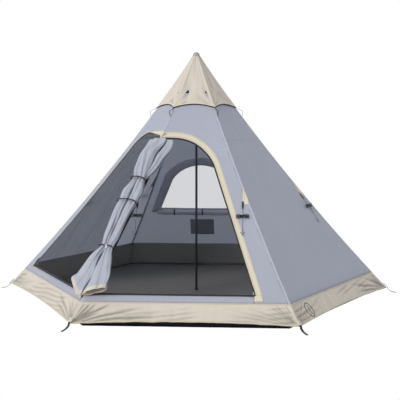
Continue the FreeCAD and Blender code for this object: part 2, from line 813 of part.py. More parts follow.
def make_rolls():
    for label, sign in (("front_door_roll", 1), ("left_door_roll", -1)):
        rings = []
        for height, radius in ROLL_SHAPE:
            here, level, normal, downhill = ridge_axes(height)
            centre = here + level * sign * (radius + 1) + normal * (radius + ROLL_LIFT)
            rings.append(Part.Wire(Part.Circle(centre, downhill, radius).toShape()))
        feature(label, Part.makeLoft(rings, True, True))
    ties = []
    radius_at = dict(ROLL_SHAPE)
    for height in TIE_HEIGHTS:
        here, level, normal, downhill = ridge_axes(height)
        radius = radius_at[height]
        half, deep = 2 * radius + 4, 2 * radius + 5
        outer = Part.makeBox(2 * half + 5, deep + 5, 12, Vector(-half - 2.5, -2.5, 0))
        inner = Part.makeBox(2 * half, deep, 20, Vector(-half, 0, -4))
        loop = outer.cut(inner)
        loop.Placement = Placement(here + normal * (ROLL_LIFT - 2.5) - downhill * 6,
                                   Rotation(level, normal, downhill, "ZXY"))
        ties.append(loop)
    feature("door_ties", Part.makeCompound(ties))


# ---------------------------------------------------------------- sliders and cable port

SLIDER_LIFT = 0.8
SIDE_SLIDER_LOW = 310
SIDE_SLIDER_HIGH = 760

def make_slider(label, face, start, toward):
    """Zip slider with a cord pull, at (side, height) on a wall and pointing along its zip."""
    here = on_wall(face, start[0], start[1], SLIDER_LIFT)
    there = on_wall(face, toward[0], toward[1], SLIDER_LIFT)
    along = (there - here).normalize()
    normal = on_wall(face, start[0], start[1], 10) - on_wall(face, start[0], start[1], 0)
    across = normal.cross(along).normalize()
    normal = along.cross(across).normalize()
    slider = Part.makeBox(24, 8, 4, Vector(-12, -4, 0))
    slider = slider.fuse(Part.makeBox(12, 3, 3, Vector(-6, -1.5, 4)))
    slider = slider.fuse(Part.makeBox(4, 7, 2.5, Vector(5, -3.5, 3.9)))
    slider = slider.fuse(Part.makeBox(40, 7, 1.6, Vector(7, -3.5, 4.2)))
    slider.Placement = Placement(here, Rotation(along * -1, across * -1, normal, "ZXY"))
    feature(label, slider.removeSplitter())
    print(label, [round(value, 4) for value in along], "%.1f" % (there - here).Length)


def make_sliders():
    inset = size("dims.zip_width / 2")
    sill = size("dims.sill_height") + inset
    foot = size("dims.front_foot")
    shoulder = size("dims.front_shoulder_side")
    low, high = size("dims.sill_height"), size("dims.front_shoulder_up")

    def right_edge(height):
        return foot + (shoulder - foot) * (height - low) / (high - low) - inset

    make_slider("front_sill_slider", FACES["front"], (520, sill), (-560, sill))
    make_slider("front_side_slider", FACES["front"], (right_edge(SIDE_SLIDER_LOW), SIDE_SLIDER_LOW),
                (right_edge(SIDE_SLIDER_HIGH), SIDE_SLIDER_HIGH))
    left_foot, left_shoulder = size("dims.left_foot"), size("dims.left_shoulder_side")
    left_high = size("dims.left_shoulder_up")

    def left_edge(height):
        return -(left_foot + (left_shoulder - left_foot) * (height - low) / (left_high - low)) + inset

    make_slider("left_sill_slider", FACES["front_left"], (-640, sill), (440, sill))
    make_slider("left_side_slider", FACES["front_left"], (left_edge(SIDE_SLIDER_LOW), SIDE_SLIDER_LOW),
                (left_edge(SIDE_SLIDER_HIGH), SIDE_SLIDER_HIGH))


def make_cable_port():
    """Plain sewn ring round the cable hole in the front right skirt."""
    ring = keep(doc.addObject("Part::Torus", "cable_port"), "cable_port")
    ring.setExpression("Radius1", "dims.port_radius")
    ring.setExpression("Radius2", "dims.port_cord")
    face = FACES["front_right"]
    side, height = size("dims.port_side"), size("dims.port_up")
    centre = on_wall(face, side, height, size("dims.port_cord") + 0.4)
    normal = on_wall(face, side, height, 10) - on_wall(face, side, height, 0)
    ring.Placement = Placement(centre, Rotation(Vector(0, 0, 1), normal))


def check_all():
    """Every object computed and every sub-part a valid, solid shape."""
    doc.recompute()
    for item in doc.Objects:
        if "Invalid" in item.State or "Error" in item.State:
            raise ValueError("%s failed: %s" % (item.Label, item.State))
    for item in nodes:
        shape = item.Shape
        if shape.isNull() or not shape.isValid() or not shape.Solids:
            raise ValueError("%s has no valid solid" % item.Label)


def export_all():
    os.makedirs("parts", exist_ok=True)
    for item in nodes:
        item.Shape.exportStep("parts/%s.step" % item.Label)
        box = item.Shape.BoundBox
        print("%-22s %2d solids %9.0f mm3  z %.1f..%.1f" % (
            item.Label, len(item.Shape.Solids), item.Shape.Volume, box.ZMin, box.ZMax))
    print(len(nodes), "nodes")


make_walls()
make_skirts()
make_doors()
make_window()
make_groundsheet()
make_cap()
make_vent_mesh()
make_pole()
make_cap_fastenings()
make_guy_points()
make_peg_straps()
make_guy_lines()
make_rolls()
make_sliders()
make_cable_port()
check_all()
export_all()
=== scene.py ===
import math

import bpy
import numpy as np
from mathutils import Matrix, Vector, noise
from mathutils.geometry import delaunay_2d_cdt
from mathutils.kdtree import KDTree


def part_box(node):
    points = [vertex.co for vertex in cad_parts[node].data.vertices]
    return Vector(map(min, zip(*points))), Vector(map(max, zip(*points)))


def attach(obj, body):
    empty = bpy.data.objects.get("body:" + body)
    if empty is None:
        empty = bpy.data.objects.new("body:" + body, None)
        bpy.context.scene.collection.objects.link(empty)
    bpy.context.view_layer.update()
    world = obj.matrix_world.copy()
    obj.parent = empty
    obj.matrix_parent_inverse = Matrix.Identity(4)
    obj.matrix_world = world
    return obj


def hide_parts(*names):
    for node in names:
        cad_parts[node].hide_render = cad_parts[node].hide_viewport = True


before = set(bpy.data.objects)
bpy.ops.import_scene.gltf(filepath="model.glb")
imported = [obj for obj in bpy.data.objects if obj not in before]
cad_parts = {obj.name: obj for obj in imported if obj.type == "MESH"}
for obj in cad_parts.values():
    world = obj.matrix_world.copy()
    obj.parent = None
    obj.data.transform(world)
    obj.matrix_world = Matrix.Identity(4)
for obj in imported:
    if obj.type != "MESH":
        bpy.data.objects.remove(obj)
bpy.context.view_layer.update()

# ---------------------------------------------------------------- the tent's geometry, in metres
# Walls share one hollow profile: an arc in the vertical plane through the middle of each wall.
WALL_RADIUS = 18.750
CENTRE_OUT = 16.036
CENTRE_UP = 11.995
HALF_FACE = math.cos(math.radians(30))
# Half a side's width for each metre that it is from the axis.
HALF_SIDE = math.tan(math.radians(30))
FACES = {"front": 270, "front_right": 330, "back_right": 30,
         "back": 90, "back_left": 150, "front_left": 210}
RIDGES = (0, 60, 120, 180, 240, 300)
DOOR_RIDGE = 240
CLOTH = 0.0022
SKIRT_TOP = 0.200
SILL = 0.250
BODY_TOP = 1.900
HEM_CORNER = 0.050
SHELL = "shell"


def wall_out(height, lift=0.0):
    """Distance from the pole axis to the outside of a wall, square to the wall."""
    radius = WALL_RADIUS - lift
    return CENTRE_OUT - math.sqrt(radius ** 2 - (height - CENTRE_UP) ** 2)


def ridge_out(height, lift=0.0):
    return wall_out(height, lift) / HALF_FACE


def half_side(height):
    """Half the width of a wall at a height."""
    return wall_out(height) * HALF_SIDE


def on_wall(face, side, height, lift=0.0):
    """Point on a wall: side runs anticlockwise from its middle, lift is along its normal."""
    rise = CENTRE_UP - height
    slope = rise / math.sqrt(WALL_RADIUS ** 2 - rise ** 2)
    shorten = 1 / math.sqrt(1 + slope ** 2)
    out = wall_out(height) + lift * shorten
    turn = math.radians(face)
    return Vector((out * math.cos(turn) - side * math.sin(turn),
                   out * math.sin(turn) + side * math.cos(turn),
                   height + lift * slope * shorten))


def directions(degrees):
    """Outward and level (anticlockwise) directions at a bearing round the pole."""
    turn = math.radians(degrees)
    return Vector((math.cos(turn), math.sin(turn), 0)), Vector((-math.sin(turn), math.cos(turn), 0))


def box_of(node):
    """Middle, lowest and highest corner of a CAD node's box."""
    low, high = (Vector(corner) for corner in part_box(node))
    return (low + high) / 2, low, high


def ridge_frame(ridge, height):
    """Point on a ridge with level (anticlockwise), outward normal and downhill directions."""
    outward, level = directions(ridge)
    here = outward * ridge_out(height) + Vector((0, 0, height))
    lower = outward * ridge_out(height - 0.01) + Vector((0, 0, height - 0.01))
    downhill = (lower - here).normalized()
    return here, level, downhill.cross(level).normalized(), downhill


def smooth(low, high, value):
    """0 below low, 1 above high, easing between."""
    share = min(max((value - low) / (high - low), 0.0), 1.0)
    return share * share * (3 - 2 * share)


def turns(count, closed=False):
    """Even angles round a circle; a closed list repeats the first point at its end."""
    return [2 * math.pi * step / count for step in range(count + closed)]


def wrinkle(x, y, scale, seed):
    """Smooth noise from about -1 to 1, with features about 1 / scale apart."""
    return noise.noise(Vector((x * scale, y * scale, seed)))


# ---------------------------------------------------------------- materials

def srgb(red, green, blue):
    """Linear colour of an 0-255 screen colour."""
    return tuple((value / 255 / 12.92) if value < 10.3 else ((value / 255 + 0.055) / 1.055) ** 2.4
                 for value in (red, green, blue)) + (1.0,)


class Nodes:
    """Short way to build a node tree."""

    def __init__(self, name):
        self.material = bpy.data.materials.new(name)
        self.material.use_nodes = True
        self.tree = self.material.node_tree
        self.shader = self.tree.nodes["Principled BSDF"]
        self.output = self.tree.nodes["Material Output"]

    def add(self, kind, **settings):
        node = self.tree.nodes.new(kind)
        for key, value in settings.items():
            setattr(node, key, value)
        return node

    def link(self, source, target):
        self.tree.links.new(source, target)

    def coordinates(self):
        """Sockets for u and v, both in metres on cloth, and for the place in the object."""
        coords = self.add("ShaderNodeTexCoord")
        split = self.add("ShaderNodeSeparateXYZ")
        self.link(coords.outputs["UV"], split.inputs[0])
        return split.outputs[0], split.outputs[1], coords.outputs["Object"]

    def math(self, operation, first, second=0.0):
        node = self.add("ShaderNodeMath", operation=operation)
        for index, value in enumerate((first, second)):
            if isinstance(value, (int, float)):
                node.inputs[index].default_value = value
            else:
                self.link(value, node.inputs[index])
        return node.outputs[0]

    def mix(self, share, first, second):
        """Colour mix; share is a socket, the colours are sockets or tuples."""
        node = self.add("ShaderNodeMix", data_type="RGBA")
        self.link(share, node.inputs[0])
        for index, value in ((6, first), (7, second)):
            if isinstance(value, tuple):
                node.inputs[index].default_value = value
            else:
                self.link(value, node.inputs[index])
        return node.outputs[2]

    def noise(self, vector, scale, detail=3.0):
        node = self.add("ShaderNodeTexNoise")
        node.inputs["Scale"].default_value = scale
        node.inputs["Detail"].default_value = detail
        self.link(vector, node.inputs["Vector"])
        return node.outputs["Fac"]

    def span(self, value, low, high):
        """Maps a 0-1 value on to a range."""
        node = self.add("ShaderNodeMapRange")
        self.link(value, node.inputs["Value"])
        node.inputs["To Min"].default_value = low
        node.inputs["To Max"].default_value = high
        return node.outputs["Result"]

    def bump(self, height, strength, distance, below=None):
        node = self.add("ShaderNodeBump")
        node.inputs["Strength"].default_value = strength
        node.inputs["Distance"].default_value = distance
        self.link(height, node.inputs["Height"])
        if below is not None:
            self.link(below, node.inputs["Normal"])
        return node.outputs["Normal"]


def tinted(colour, factor):
    return tuple(value * factor for value in colour[:3]) + (1.0,)


# Colour of daylight that has come through the cloth.
GLOW = (0.90, 0.93, 1.0, 1.0)
FULL_TURN = 6.2832
RIPSTOP_CELL = 0.006
DIRT = srgb(120, 105, 85)


def cloth_material(name, colour, weave=420.0, shade=0.06, rough=0.82, sheen=0.12, translucent=0.0,
                   crease=0.35, dirt=0.0, ripstop=True):
    """Woven polyester: plain weave with a ripstop grid, soft colour drift, creases, low dirt and painted
    shade in the bottoms of folds.
    """
    made = Nodes(name)
    u, v, place = made.coordinates()
    across = made.math("SINE", made.math("MULTIPLY", u, weave * FULL_TURN))
    along = made.math("SINE", made.math("MULTIPLY", v, weave * FULL_TURN))
    threads = made.math("MULTIPLY", across, along)
    height = made.math("MULTIPLY", threads, 0.5)
    if ripstop:
        ribs = []
        for axis in (u, v):
            wave = made.math("FRACT", made.math("DIVIDE", axis, RIPSTOP_CELL))
            ribs.append(made.math("GREATER_THAN", wave, 0.88))
        height = made.math("ADD", height, made.math("MAXIMUM", ribs[0], ribs[1]))
    drift = made.noise(place, 2.3)
    mottle = made.noise(place, 22.0)
    base = made.mix(drift, tinted(colour, 1 - shade), tinted(colour, 1 + shade))
    base = made.mix(made.span(mottle, 0.0, 0.35), base, tinted(colour, 1 - shade * 2.2))
    thread_tint = made.span(made.math("ADD", made.math("MULTIPLY", threads, 0.5), 0.5), 0.0, 0.12)
    base = made.mix(thread_tint, base, tinted(colour, 0.8))
    if dirt:
        spread = made.add("ShaderNodeSeparateXYZ")
        made.link(place, spread.inputs[0])
        low = made.math("SUBTRACT", 1.0, made.math("MULTIPLY", spread.outputs[2], 5.5))
        stain = made.math("MULTIPLY", made.math("MAXIMUM", low, 0.0), made.noise(place, 9.0))
        base = made.mix(made.math("MULTIPLY", stain, dirt), base, DIRT)
    # Painted shade: the mesh's shade attribute darkens the colour towards 0.3 of itself in the bottoms of
    # folds.
    depth = made.add("ShaderNodeAttribute", attribute_name="shade")
    base = made.mix(depth.outputs["Fac"], base, tinted(colour, 0.30))
    made.link(base, made.shader.inputs["Base Color"])
    made.link(made.span(mottle, rough - 0.08, rough + 0.1), made.shader.inputs["Roughness"])
    made.shader.inputs["Sheen Weight"].default_value = sheen
    made.shader.inputs["Sheen Roughness"].default_value = 0.5
    made.shader.inputs["Specular IOR Level"].default_value = 0.25
    folds = made.bump(made.noise(place, 34.0, 5.0), crease, 0.004)
    made.link(made.bump(height, 0.25, 0.0002, folds), made.shader.inputs["Normal"])
    if translucent:
        glow = made.add("ShaderNodeBsdfTranslucent")
        glow.inputs["Color"].default_value = GLOW
        blend = made.add("ShaderNodeMixShader")
        blend.inputs["Fac"].default_value = translucent
        made.link(made.shader.outputs[0], blend.inputs[1])
        made.link(glow.outputs[0], blend.inputs[2])
        made.link(blend.outputs[0], made.output.inputs["Surface"])
    return made.material


def webbing_material(name, colour, rib=0.0022):
    """Woven strap: cross ribs along its length and a slightly raised selvedge."""
    made = Nodes(name)
    u, v, place = made.coordinates()
    ribs = made.math("SINE", made.math("MULTIPLY", v, FULL_TURN / rib))
    cross = made.math("SINE", made.math("MULTIPLY", u, FULL_TURN / (rib * 1.3)))
    height = made.math("ADD", ribs, made.math("MULTIPLY", cross, 0.5))
    wear = made.noise(place, 60.0)
    base = made.mix(made.span(wear, 0.0, 0.8), tinted(colour, 0.8), tinted(colour, 1.8))
    made.link(base, made.shader.inputs["Base Color"])
    made.link(made.span(wear, 0.6, 0.85), made.shader.inputs["Roughness"])
    made.shader.inputs["Sheen Weight"].default_value = 0.1
    made.link(made.bump(height, 0.5, 0.0004), made.shader.inputs["Normal"])
    return made.material


def hard_material(name, colour, rough=0.4, metallic=0.0, grain=120.0, coat=0.0):
    """Moulded plastic, rubber or coated metal with fine grain and rubbed patches."""
    made = Nodes(name)
    place = made.add("ShaderNodeTexCoord").outputs["Object"]
    rub = made.noise(place, 14.0)
    base = made.mix(made.span(rub, 0.0, 0.7), tinted(colour, 0.85), tinted(colour, 1.35))
    made.link(base, made.shader.inputs["Base Color"])
    made.link(made.span(rub, rough - 0.08, rough + 0.15), made.shader.inputs["Roughness"])
    made.shader.inputs["Metallic"].default_value = metallic
    made.shader.inputs["Coat Weight"].default_value = coat
    made.link(made.bump(made.noise(place, grain), 0.15, 0.0005), made.shader.inputs["Normal"])
    return made.material


def mesh_material(name, colour, cover, cell=0.0016):
    """See-through insect mesh: fine holes, with the same average cover at any distance."""
    made = Nodes(name)
    u, v, place = made.coordinates()
    lines = []
    for axis in (u, v):
        wave = made.math("FRACT", made.math("DIVIDE", axis, cell))
        lines.append(made.math("LESS_THAN", wave, 1 - math.sqrt(1 - cover)))
    thread = made.math("MAXIMUM", lines[0], lines[1])
    tint = made.noise(place, 5.0)
    made.link(made.mix(tint, tinted(colour, 0.85), tinted(colour, 1.2)), made.shader.inputs["Base Color"])
    made.shader.inputs["Roughness"].default_value = 0.8
    made.link(thread, made.shader.inputs["Alpha"])
    return made.material


def film_material(name):
    """Clear flexible window film, faintly rippled."""
    made = Nodes(name)
    place = made.add("ShaderNodeTexCoord").outputs["Object"]
    haze = made.noise(place, 7.0)
    made.link(made.mix(haze, srgb(150, 166, 216), srgb(168, 182, 228)), made.shader.inputs["Base Color"])
    made.link(made.span(haze, 0.3, 0.5), made.shader.inputs["Roughness"])
    made.shader.inputs["Alpha"].default_value = 0.20
    made.link(made.bump(made.noise(place, 12.0), 0.1, 0.002), made.shader.inputs["Normal"])
    return made.material


def stitched_material(name, colour, edge, pitch=0.009):
    """Binding tape: cloth with two rows of stitches; UV x runs across (0-1), y along in metres."""
    made = Nodes(name)
    u, v, place = made.coordinates()
    dash = made.math("LESS_THAN", made.math("FRACT", made.math("DIVIDE", v, pitch)), 0.62)
    rows = []
    for line in (edge, 1 - edge):
        away = made.math("ABSOLUTE", made.math("SUBTRACT", u, line))
        rows.append(made.math("LESS_THAN", away, 0.04))
    stitch = made.math("MULTIPLY", made.math("MAXIMUM", rows[0], rows[1]), dash)
    drift = made.noise(place, 9.0)
    base = made.mix(drift, tinted(colour, 0.93), tinted(colour, 1.05))
    # Both long edges of the tape are drawn darker, evenly all along it.
    darker_edges = made.math("ABSOLUTE", made.math("SUBTRACT", u, 0.5))
    darker_edges = made.math("MULTIPLY", made.math("GREATER_THAN", darker_edges, 0.44), 0.45)
    base = made.mix(darker_edges, base, tinted(colour, 0.6))
    base = made.mix(made.math("MULTIPLY", stitch, 0.8), base, tinted(colour, 0.5))
    made.link(base, made.shader.inputs["Base Color"])
    made.link(made.span(drift, 0.72, 0.9), made.shader.inputs["Roughness"])
    made.shader.inputs["Sheen Weight"].default_value = 0.1
    pucker = made.bump(made.noise(place, 70.0, 4.0), 0.3, 0.002)
    made.link(made.bump(stitch, -0.6, 0.001, pucker), made.shader.inputs["Normal"])
    return made.material


GREY = srgb(190, 193, 206)
CREAM = srgb(212, 203, 190)
MATERIALS = {
    "wall": cloth_material("wall_cloth", GREY, translucent=0.30),
    "wall_inside": cloth_material("wall_cloth_inside", srgb(180, 183, 197), translucent=0.6, sheen=0.05),
    "door": cloth_material("door_cloth", srgb(184, 187, 200), crease=0.6, translucent=0.10),
    "sill": cloth_material("sill_cloth", srgb(172, 175, 188), crease=1.0, translucent=0.10),
    "cream": cloth_material("cream_cloth", CREAM, dirt=0.12, crease=0.45, translucent=0.05),
    "binding": stitched_material("cream_binding", srgb(212, 203, 182), 0.2),
    "tub": cloth_material("groundsheet_cloth", srgb(114, 112, 109), rough=0.55, shade=0.10, ripstop=False),
    "tub_side": cloth_material("groundsheet_side", srgb(150, 149, 147), rough=0.6, shade=0.08, ripstop=False),
    "tub_edge": cloth_material("groundsheet_outside", srgb(24, 25, 30), rough=0.5, shade=0.12, ripstop=False),
    "dark": cloth_material("frame_cloth", srgb(196, 200, 214), ripstop=False, translucent=0.1),
    "pocket": cloth_material("pocket_cloth", srgb(150, 154, 168), ripstop=False, crease=0.6),
    "webbing": webbing_material("black_webbing", srgb(30, 30, 34)),
    "cord": webbing_material("black_cord", srgb(26, 26, 29), 0.0012),
    "white_cord": webbing_material("white_cord", srgb(222, 222, 224), 0.0012),
    "zip": webbing_material("black_zip", srgb(24, 24, 28), 0.003),
    "mesh": mesh_material("insect_mesh", srgb(30, 31, 36), 0.26),
    "vent": mesh_material("vent_mesh_black", srgb(26, 26, 30), 0.6),
    "film": film_material("clear_film"),
    "pole": hard_material("black_pole", srgb(26, 26, 30), rough=0.35, coat=0.3),
    "rubber": hard_material("black_rubber", srgb(22, 22, 24), rough=0.7),
    "plastic": hard_material("black_plastic", srgb(24, 24, 27), rough=0.35),
    "grey_plastic": hard_material("grey_plastic", srgb(150, 150, 152), rough=0.4),
}


# ---------------------------------------------------------------- mesh building

def make_mesh(name, points, faces, materials, uvs=None, slots=None, shade=None, corner_uvs=None):
    """Object from points and faces.

    uvs has a (u, v) for each point, or corner_uvs one for each face corner. shade says how deep in a fold
    each point is; the cloth materials darken it there as painted shade.
    """
    mesh = bpy.data.meshes.new(name)
    mesh.from_pydata([tuple(point) for point in points], [], faces)
    for material in materials:
        mesh.materials.append(MATERIALS[material])
    if uvs is not None:
        corners = np.empty(len(mesh.loops), dtype=np.int32)
        mesh.loops.foreach_get("vertex_index", corners)
        corner_uvs = np.asarray(uvs, dtype=np.float32)[corners]
    if corner_uvs is not None:
        layer = mesh.uv_layers.new(name="UVMap")
        layer.data.foreach_set("uv", np.asarray(corner_uvs, dtype=np.float32).ravel())
    if slots is not None:
        mesh.polygons.foreach_set("material_index", slots)
    if shade is not None:
        mesh.attributes.new("shade", "FLOAT", "POINT").data.foreach_set("value", shade)
    mesh.polygons.foreach_set("use_smooth", [True] * len(mesh.polygons))
    mesh.update()
    made = bpy.data.objects.new(name, mesh)
    bpy.context.scene.collection.objects.link(made)
    return made


def place_piece(made, body, slot, *replaced):
    """Ride a body and stand for CAD nodes, hiding them; slot is not used."""
    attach(made, body)
    if replaced:
        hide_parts(*replaced)
    return made


def sharpen(made, degrees):
    """Keeps edges over this angle crisp."""
    made.data.set_sharp_from_angle(angle=math.radians(degrees))
    return made


def resample(corners, spacing):
    """Points along a closed outline, with its corners kept."""
    points = []
    for start, end in zip(corners, corners[1:] + corners[:1]):
        length = math.dist(start, end)
        steps = max(1, round(length / spacing))
        for step in range(steps):
            share = step / steps
            points.append((start[0] + (end[0] - start[0]) * share, start[1] + (end[1] - start[1]) * share))
    return points


def inside_loops(points, loops):
    """Even-odd test of an array of points against closed loops."""
    found = np.zeros(len(points), dtype=bool)
    x, y = points[:, 0], points[:, 1]
    for loop in loops:
        ring = np.asarray(loop)
        after = np.roll(ring, -1, axis=0)
        for (x1, y1), (x2, y2) in zip(ring, after):
            if y1 == y2:
                continue
            crosses = ((y1 > y) != (y2 > y)) & (x < (x2 - x1) * (y - y1) / (y2 - y1) + x1)
            found ^= crosses
    return found


def fill(loops, spacing):
    """Even triangles inside closed loops (an outer one, then holes); returns points and faces."""
    loops = [resample(loop, spacing) for loop in loops]
    edge_points = [point for loop in loops for point in loop]
    tree = KDTree(len(edge_points))
    for index, point in enumerate(edge_points):
        tree.insert((point[0], point[1], 0), index)
    tree.balance()
    low = np.min(np.asarray(edge_points), axis=0)
    high = np.max(np.asarray(edge_points), axis=0)
    row_step = spacing * 0.866
    grid = []
    for row in range(int((high[1] - low[1]) / row_step) + 1):
        shift = spacing / 2 if row % 2 else 0.0
        for column in range(int((high[0] - low[0]) / spacing) + 1):
            grid.append((low[0] + column * spacing + shift, low[1] + row * row_step))
    kept = []
    if grid:
        grid = np.asarray(grid)
        for point in grid[inside_loops(grid, loops)]:
            if tree.find((point[0], point[1], 0))[2] > spacing * 0.55:
                kept.append((float(point[0]), float(point[1])))
    edges = []
    start = 0
    for loop in loops:
        count = len(loop)
        edges += [(start + index, start + (index + 1) % count) for index in range(count)]
        start += count
    points = [Vector(point) for point in edge_points + kept]
    made = delaunay_2d_cdt(points, edges, [], 0, 1e-7)
    out_points = [(point[0], point[1]) for point in made[0]]
    array = np.asarray(out_points)
    faces = [tuple(face) for face in made[2]]
    centres = np.asarray([array[list(face)].mean(axis=0) for face in faces])
    keep = inside_loops(centres, loops)
    faces = [face for face, kept_face in zip(faces, keep) if kept_face]
    faces = [face if area_of(array, face) > 0 else face[::-1] for face in faces]
    return out_points, faces


def area_of(points, face):
    (x1, y1), (x2, y2), (x3, y3) = (points[index] for index in face[:3])
    return (x2 - x1) * (y3 - y1) - (x3 - x1) * (y2 - y1)


def sheet_mesh(name, loops, spacing, place, materials, thickness=CLOTH, uv=None, shade=None):
    """Closed thin sheet. place(x, y, depth) gives the 3D point; materials are outside, inside."""
    flat, faces = fill(loops, spacing)
    count = len(flat)
    points = [place(x, y, 0.0) for x, y in flat] + [place(x, y, thickness) for x, y in flat]
    uvs = [uv(x, y) for x, y in flat] if uv else flat
    rim = {}
    for face in faces:
        for start, end in zip(face, face[1:] + face[:1]):
            if (end, start) in rim:
                del rim[(end, start)]
            else:
                rim[(start, end)] = True
    all_faces = list(faces)
    all_faces += [tuple(index + count for index in face[::-1]) for face in faces]
    all_faces += [(end, start, start + count, end + count) for start, end in rim]
    slots = [0] * len(faces) + [len(materials) - 1] * len(faces) + [0] * len(rim)
    # Painted shade of each point, the same on the outer and the inner layer.
    painted_shades = [shade(x, y) for x, y in flat] * 2 if shade else None
    return make_mesh(name, points, all_faces, materials, uvs + uvs, slots, painted_shades)


def arc_points(start, end, radius, steps):
    """Points after start, up to end, along an arc that turns left when radius is positive."""
    start, end = Vector(start), Vector(end)
    chord = end - start
    left = Vector((-chord.y, chord.x)).normalized()
    drop = math.sqrt(radius ** 2 - (chord.length / 2) ** 2)
    centre = (start + end) / 2 + left * math.copysign(drop, radius)
    first = math.atan2(start.y - centre.y, start.x - centre.x)
    turn = 2 * math.asin(chord.length / 2 / abs(radius)) * math.copysign(1, radius)
    found = []
    for step in range(1, steps + 1):
        angle = first + turn * step / steps
        found.append((centre.x + abs(radius) * math.cos(angle), centre.y + abs(radius) * math.sin(angle)))
    return found


def ridge_edge(sign, low, high, steps=24):
    """Points up (or down, when low > high) one ridge of a wall."""
    heights = [low + (high - low) * step / steps for step in range(steps + 1)]
    return [(sign * half_side(height), height) for height in heights]


def loft(name, rings, materials, around=None, caps=True):
    """Closed tube through rings of points; UVs in metres around and along."""
    count = len(rings[0])
    points = [point for ring in rings for point in ring]
    faces, corners = [], []
    lengths = [0.0]
    for before, after in zip(rings, rings[1:]):
        lengths.append(lengths[-1] + (after[0] - before[0]).length)
    if around is None:
        around = [0.0]
        middle = rings[len(rings) // 2]
        for index in range(count):
            around.append(around[-1] + (middle[(index + 1) % count] - middle[index]).length)
    for row in range(len(rings) - 1):
        for index in range(count):
            following = (index + 1) % count
            faces.append((row * count + index, row * count + following,
                          (row + 1) * count + following, (row + 1) * count + index))
            corners += [(around[index], lengths[row]), (around[index + 1], lengths[row]),
                        (around[index + 1], lengths[row + 1]), (around[index], lengths[row + 1])]
    if caps:
        last = (len(rings) - 1) * count
        faces.append(tuple(range(count))[::-1])
        faces.append(tuple(last + index for index in range(count)))
        corners += [(0.0, 0.0)] * count * 2
    return sharpen(make_mesh(name, points, faces, materials, corner_uvs=corners), 50)


def ribbon(name, path, across, width, thickness, material, sides=None):
    """Flat strap along a path. across is the width direction at each point; sides scales the width."""
    rings = []
    for index, point in enumerate(path):
        run = path[min(index + 1, len(path) - 1)] - path[max(index - 1, 0)]
        wide = (across[index] if isinstance(across, list) else across).normalized()
        deep = run.cross(wide).normalized() * thickness / 2
        half = wide * width / 2 * (sides[index] if sides else 1)
        rim = wide * thickness * 0.4
        rings.append([point - half - deep * 0.3, point - half + rim - deep, point + half - rim - deep,
                      point + half - deep * 0.3, point + half + deep * 0.3, point + half - rim + deep,
                      point - half + rim + deep, point - half + deep * 0.3])
    return loft(name, rings, [material])


def smooth_path(points, steps=6):
    """Catmull-Rom points through a list of points."""
    padded = [points[0] * 2 - points[1]] + list(points) + [points[-1] * 2 - points[-2]]
    found = []
    for first, second, third, fourth in zip(padded, padded[1:], padded[2:], padded[3:]):
        for step in range(steps):
            share = step / steps
            found.append(0.5 * ((second * 2) + (third - first) * share
                                + (first * 2 - second * 5 + third * 4 - fourth) * share ** 2
                                + (second * 3 - first - third * 3 + fourth) * share ** 3))
    found.append(points[-1].copy())
    return found


def round_tube(name, path, radius, material, sides=10):
    """Round bar along a path."""
    rings = []
    guide = Vector((0.31, 0.17, 0.93))
    for index, point in enumerate(path):
        run = (path[min(index + 1, len(path) - 1)] - path[max(index - 1, 0)]).normalized()
        first = run.cross(guide).normalized()
        second = run.cross(first)
        reach = radius[index] if isinstance(radius, list) else radius
        rings.append([point + (first * math.cos(turn) + second * math.sin(turn)) * reach
                      for turn in turns(sides)])
    return loft(name, rings, [material])


# ---------------------------------------------------------------- camera

scene = bpy.context.scene
camera_data = bpy.data.cameras.new("camera")
camera_data.lens = 78.24
camera_data.sensor_width = 36.0
camera = bpy.data.objects.new("camera", camera_data)
camera.location = (0.517, -8.308, 1.734)
camera.rotation_euler = (math.radians(84.17), 0.0, math.radians(3.322))
scene.collection.objects.link(camera)
scene.camera = camera


# ---------------------------------------------------------------- guy lines

# Each guy line hangs from one side of its ridge: (ridge, wall it lies on, side of that wall).
GUY_SIDES = (
    (0, 330, 1),
    (60, 30, 1),
    (120, 150, -1),
    (180, 150, 1),
    (240, 270, -1),
    (300, 270, 1),
)
PATCH_TIP = 1.094
PATCH_BASE = 0.938
PATCH_FIN = 0.062
CORD_DIAMETER = 0.003
HANK_UP = 0.840
HANK_HALF_WIDTH = 0.058
HANK_END = 0.0105
HANK_WAIST = 0.0052
HANK_FAN = 12.0
HANK_TURNS = 7
TURN_POINTS = 16
# Route of a guy line beside its tab: (sideways, height, lift off the wall).
LEAD_ROUTE = ((0, 0.903, 0.0052), (0.0015, 0.882, 0.007), (0, 0.858, 0.008))
TAIL_ROUTE = ((0, 0.822, 0.016), (-0.002, 0.796, 0.012), (0.0015, 0.766, 0.010), (0, 0.700, 0.0095))


def guy_side(sign):
    """Distance of a guy point from the middle of the wall that it lies on."""
    return sign * (ridge_out(PATCH_BASE) / 2 - PATCH_FIN)


def hank_route(seed):
    """Turns of a bow-shaped hank, each leaning a little differently, from top middle to bottom middle."""
    found = []
    total = int(TURN_POINTS * (HANK_TURNS + 0.5))
    for step in range(1, total):
        turn = 2 * math.pi * step / TURN_POINTS
        number = step / TURN_POINTS
        x = math.sin(turn)
        size = 1 - 0.10 * (0.5 + 0.5 * math.sin(number * 3.9 + seed)) - (0.05 if x > 0 else 0.0)
        lean = math.radians(HANK_FAN) * math.sin(number * 2.75 + seed * 1.3)
        end = math.copysign(abs(x) ** 0.62, x) * HANK_HALF_WIDTH * size
        high = (HANK_WAIST + (HANK_END - HANK_WAIST) * abs(x) ** 1.3) * math.cos(turn)
        lift = 0.0046 + 0.0195 * number / HANK_TURNS
        found.append((end, HANK_UP + high + end * math.sin(lean), lift))
    return found


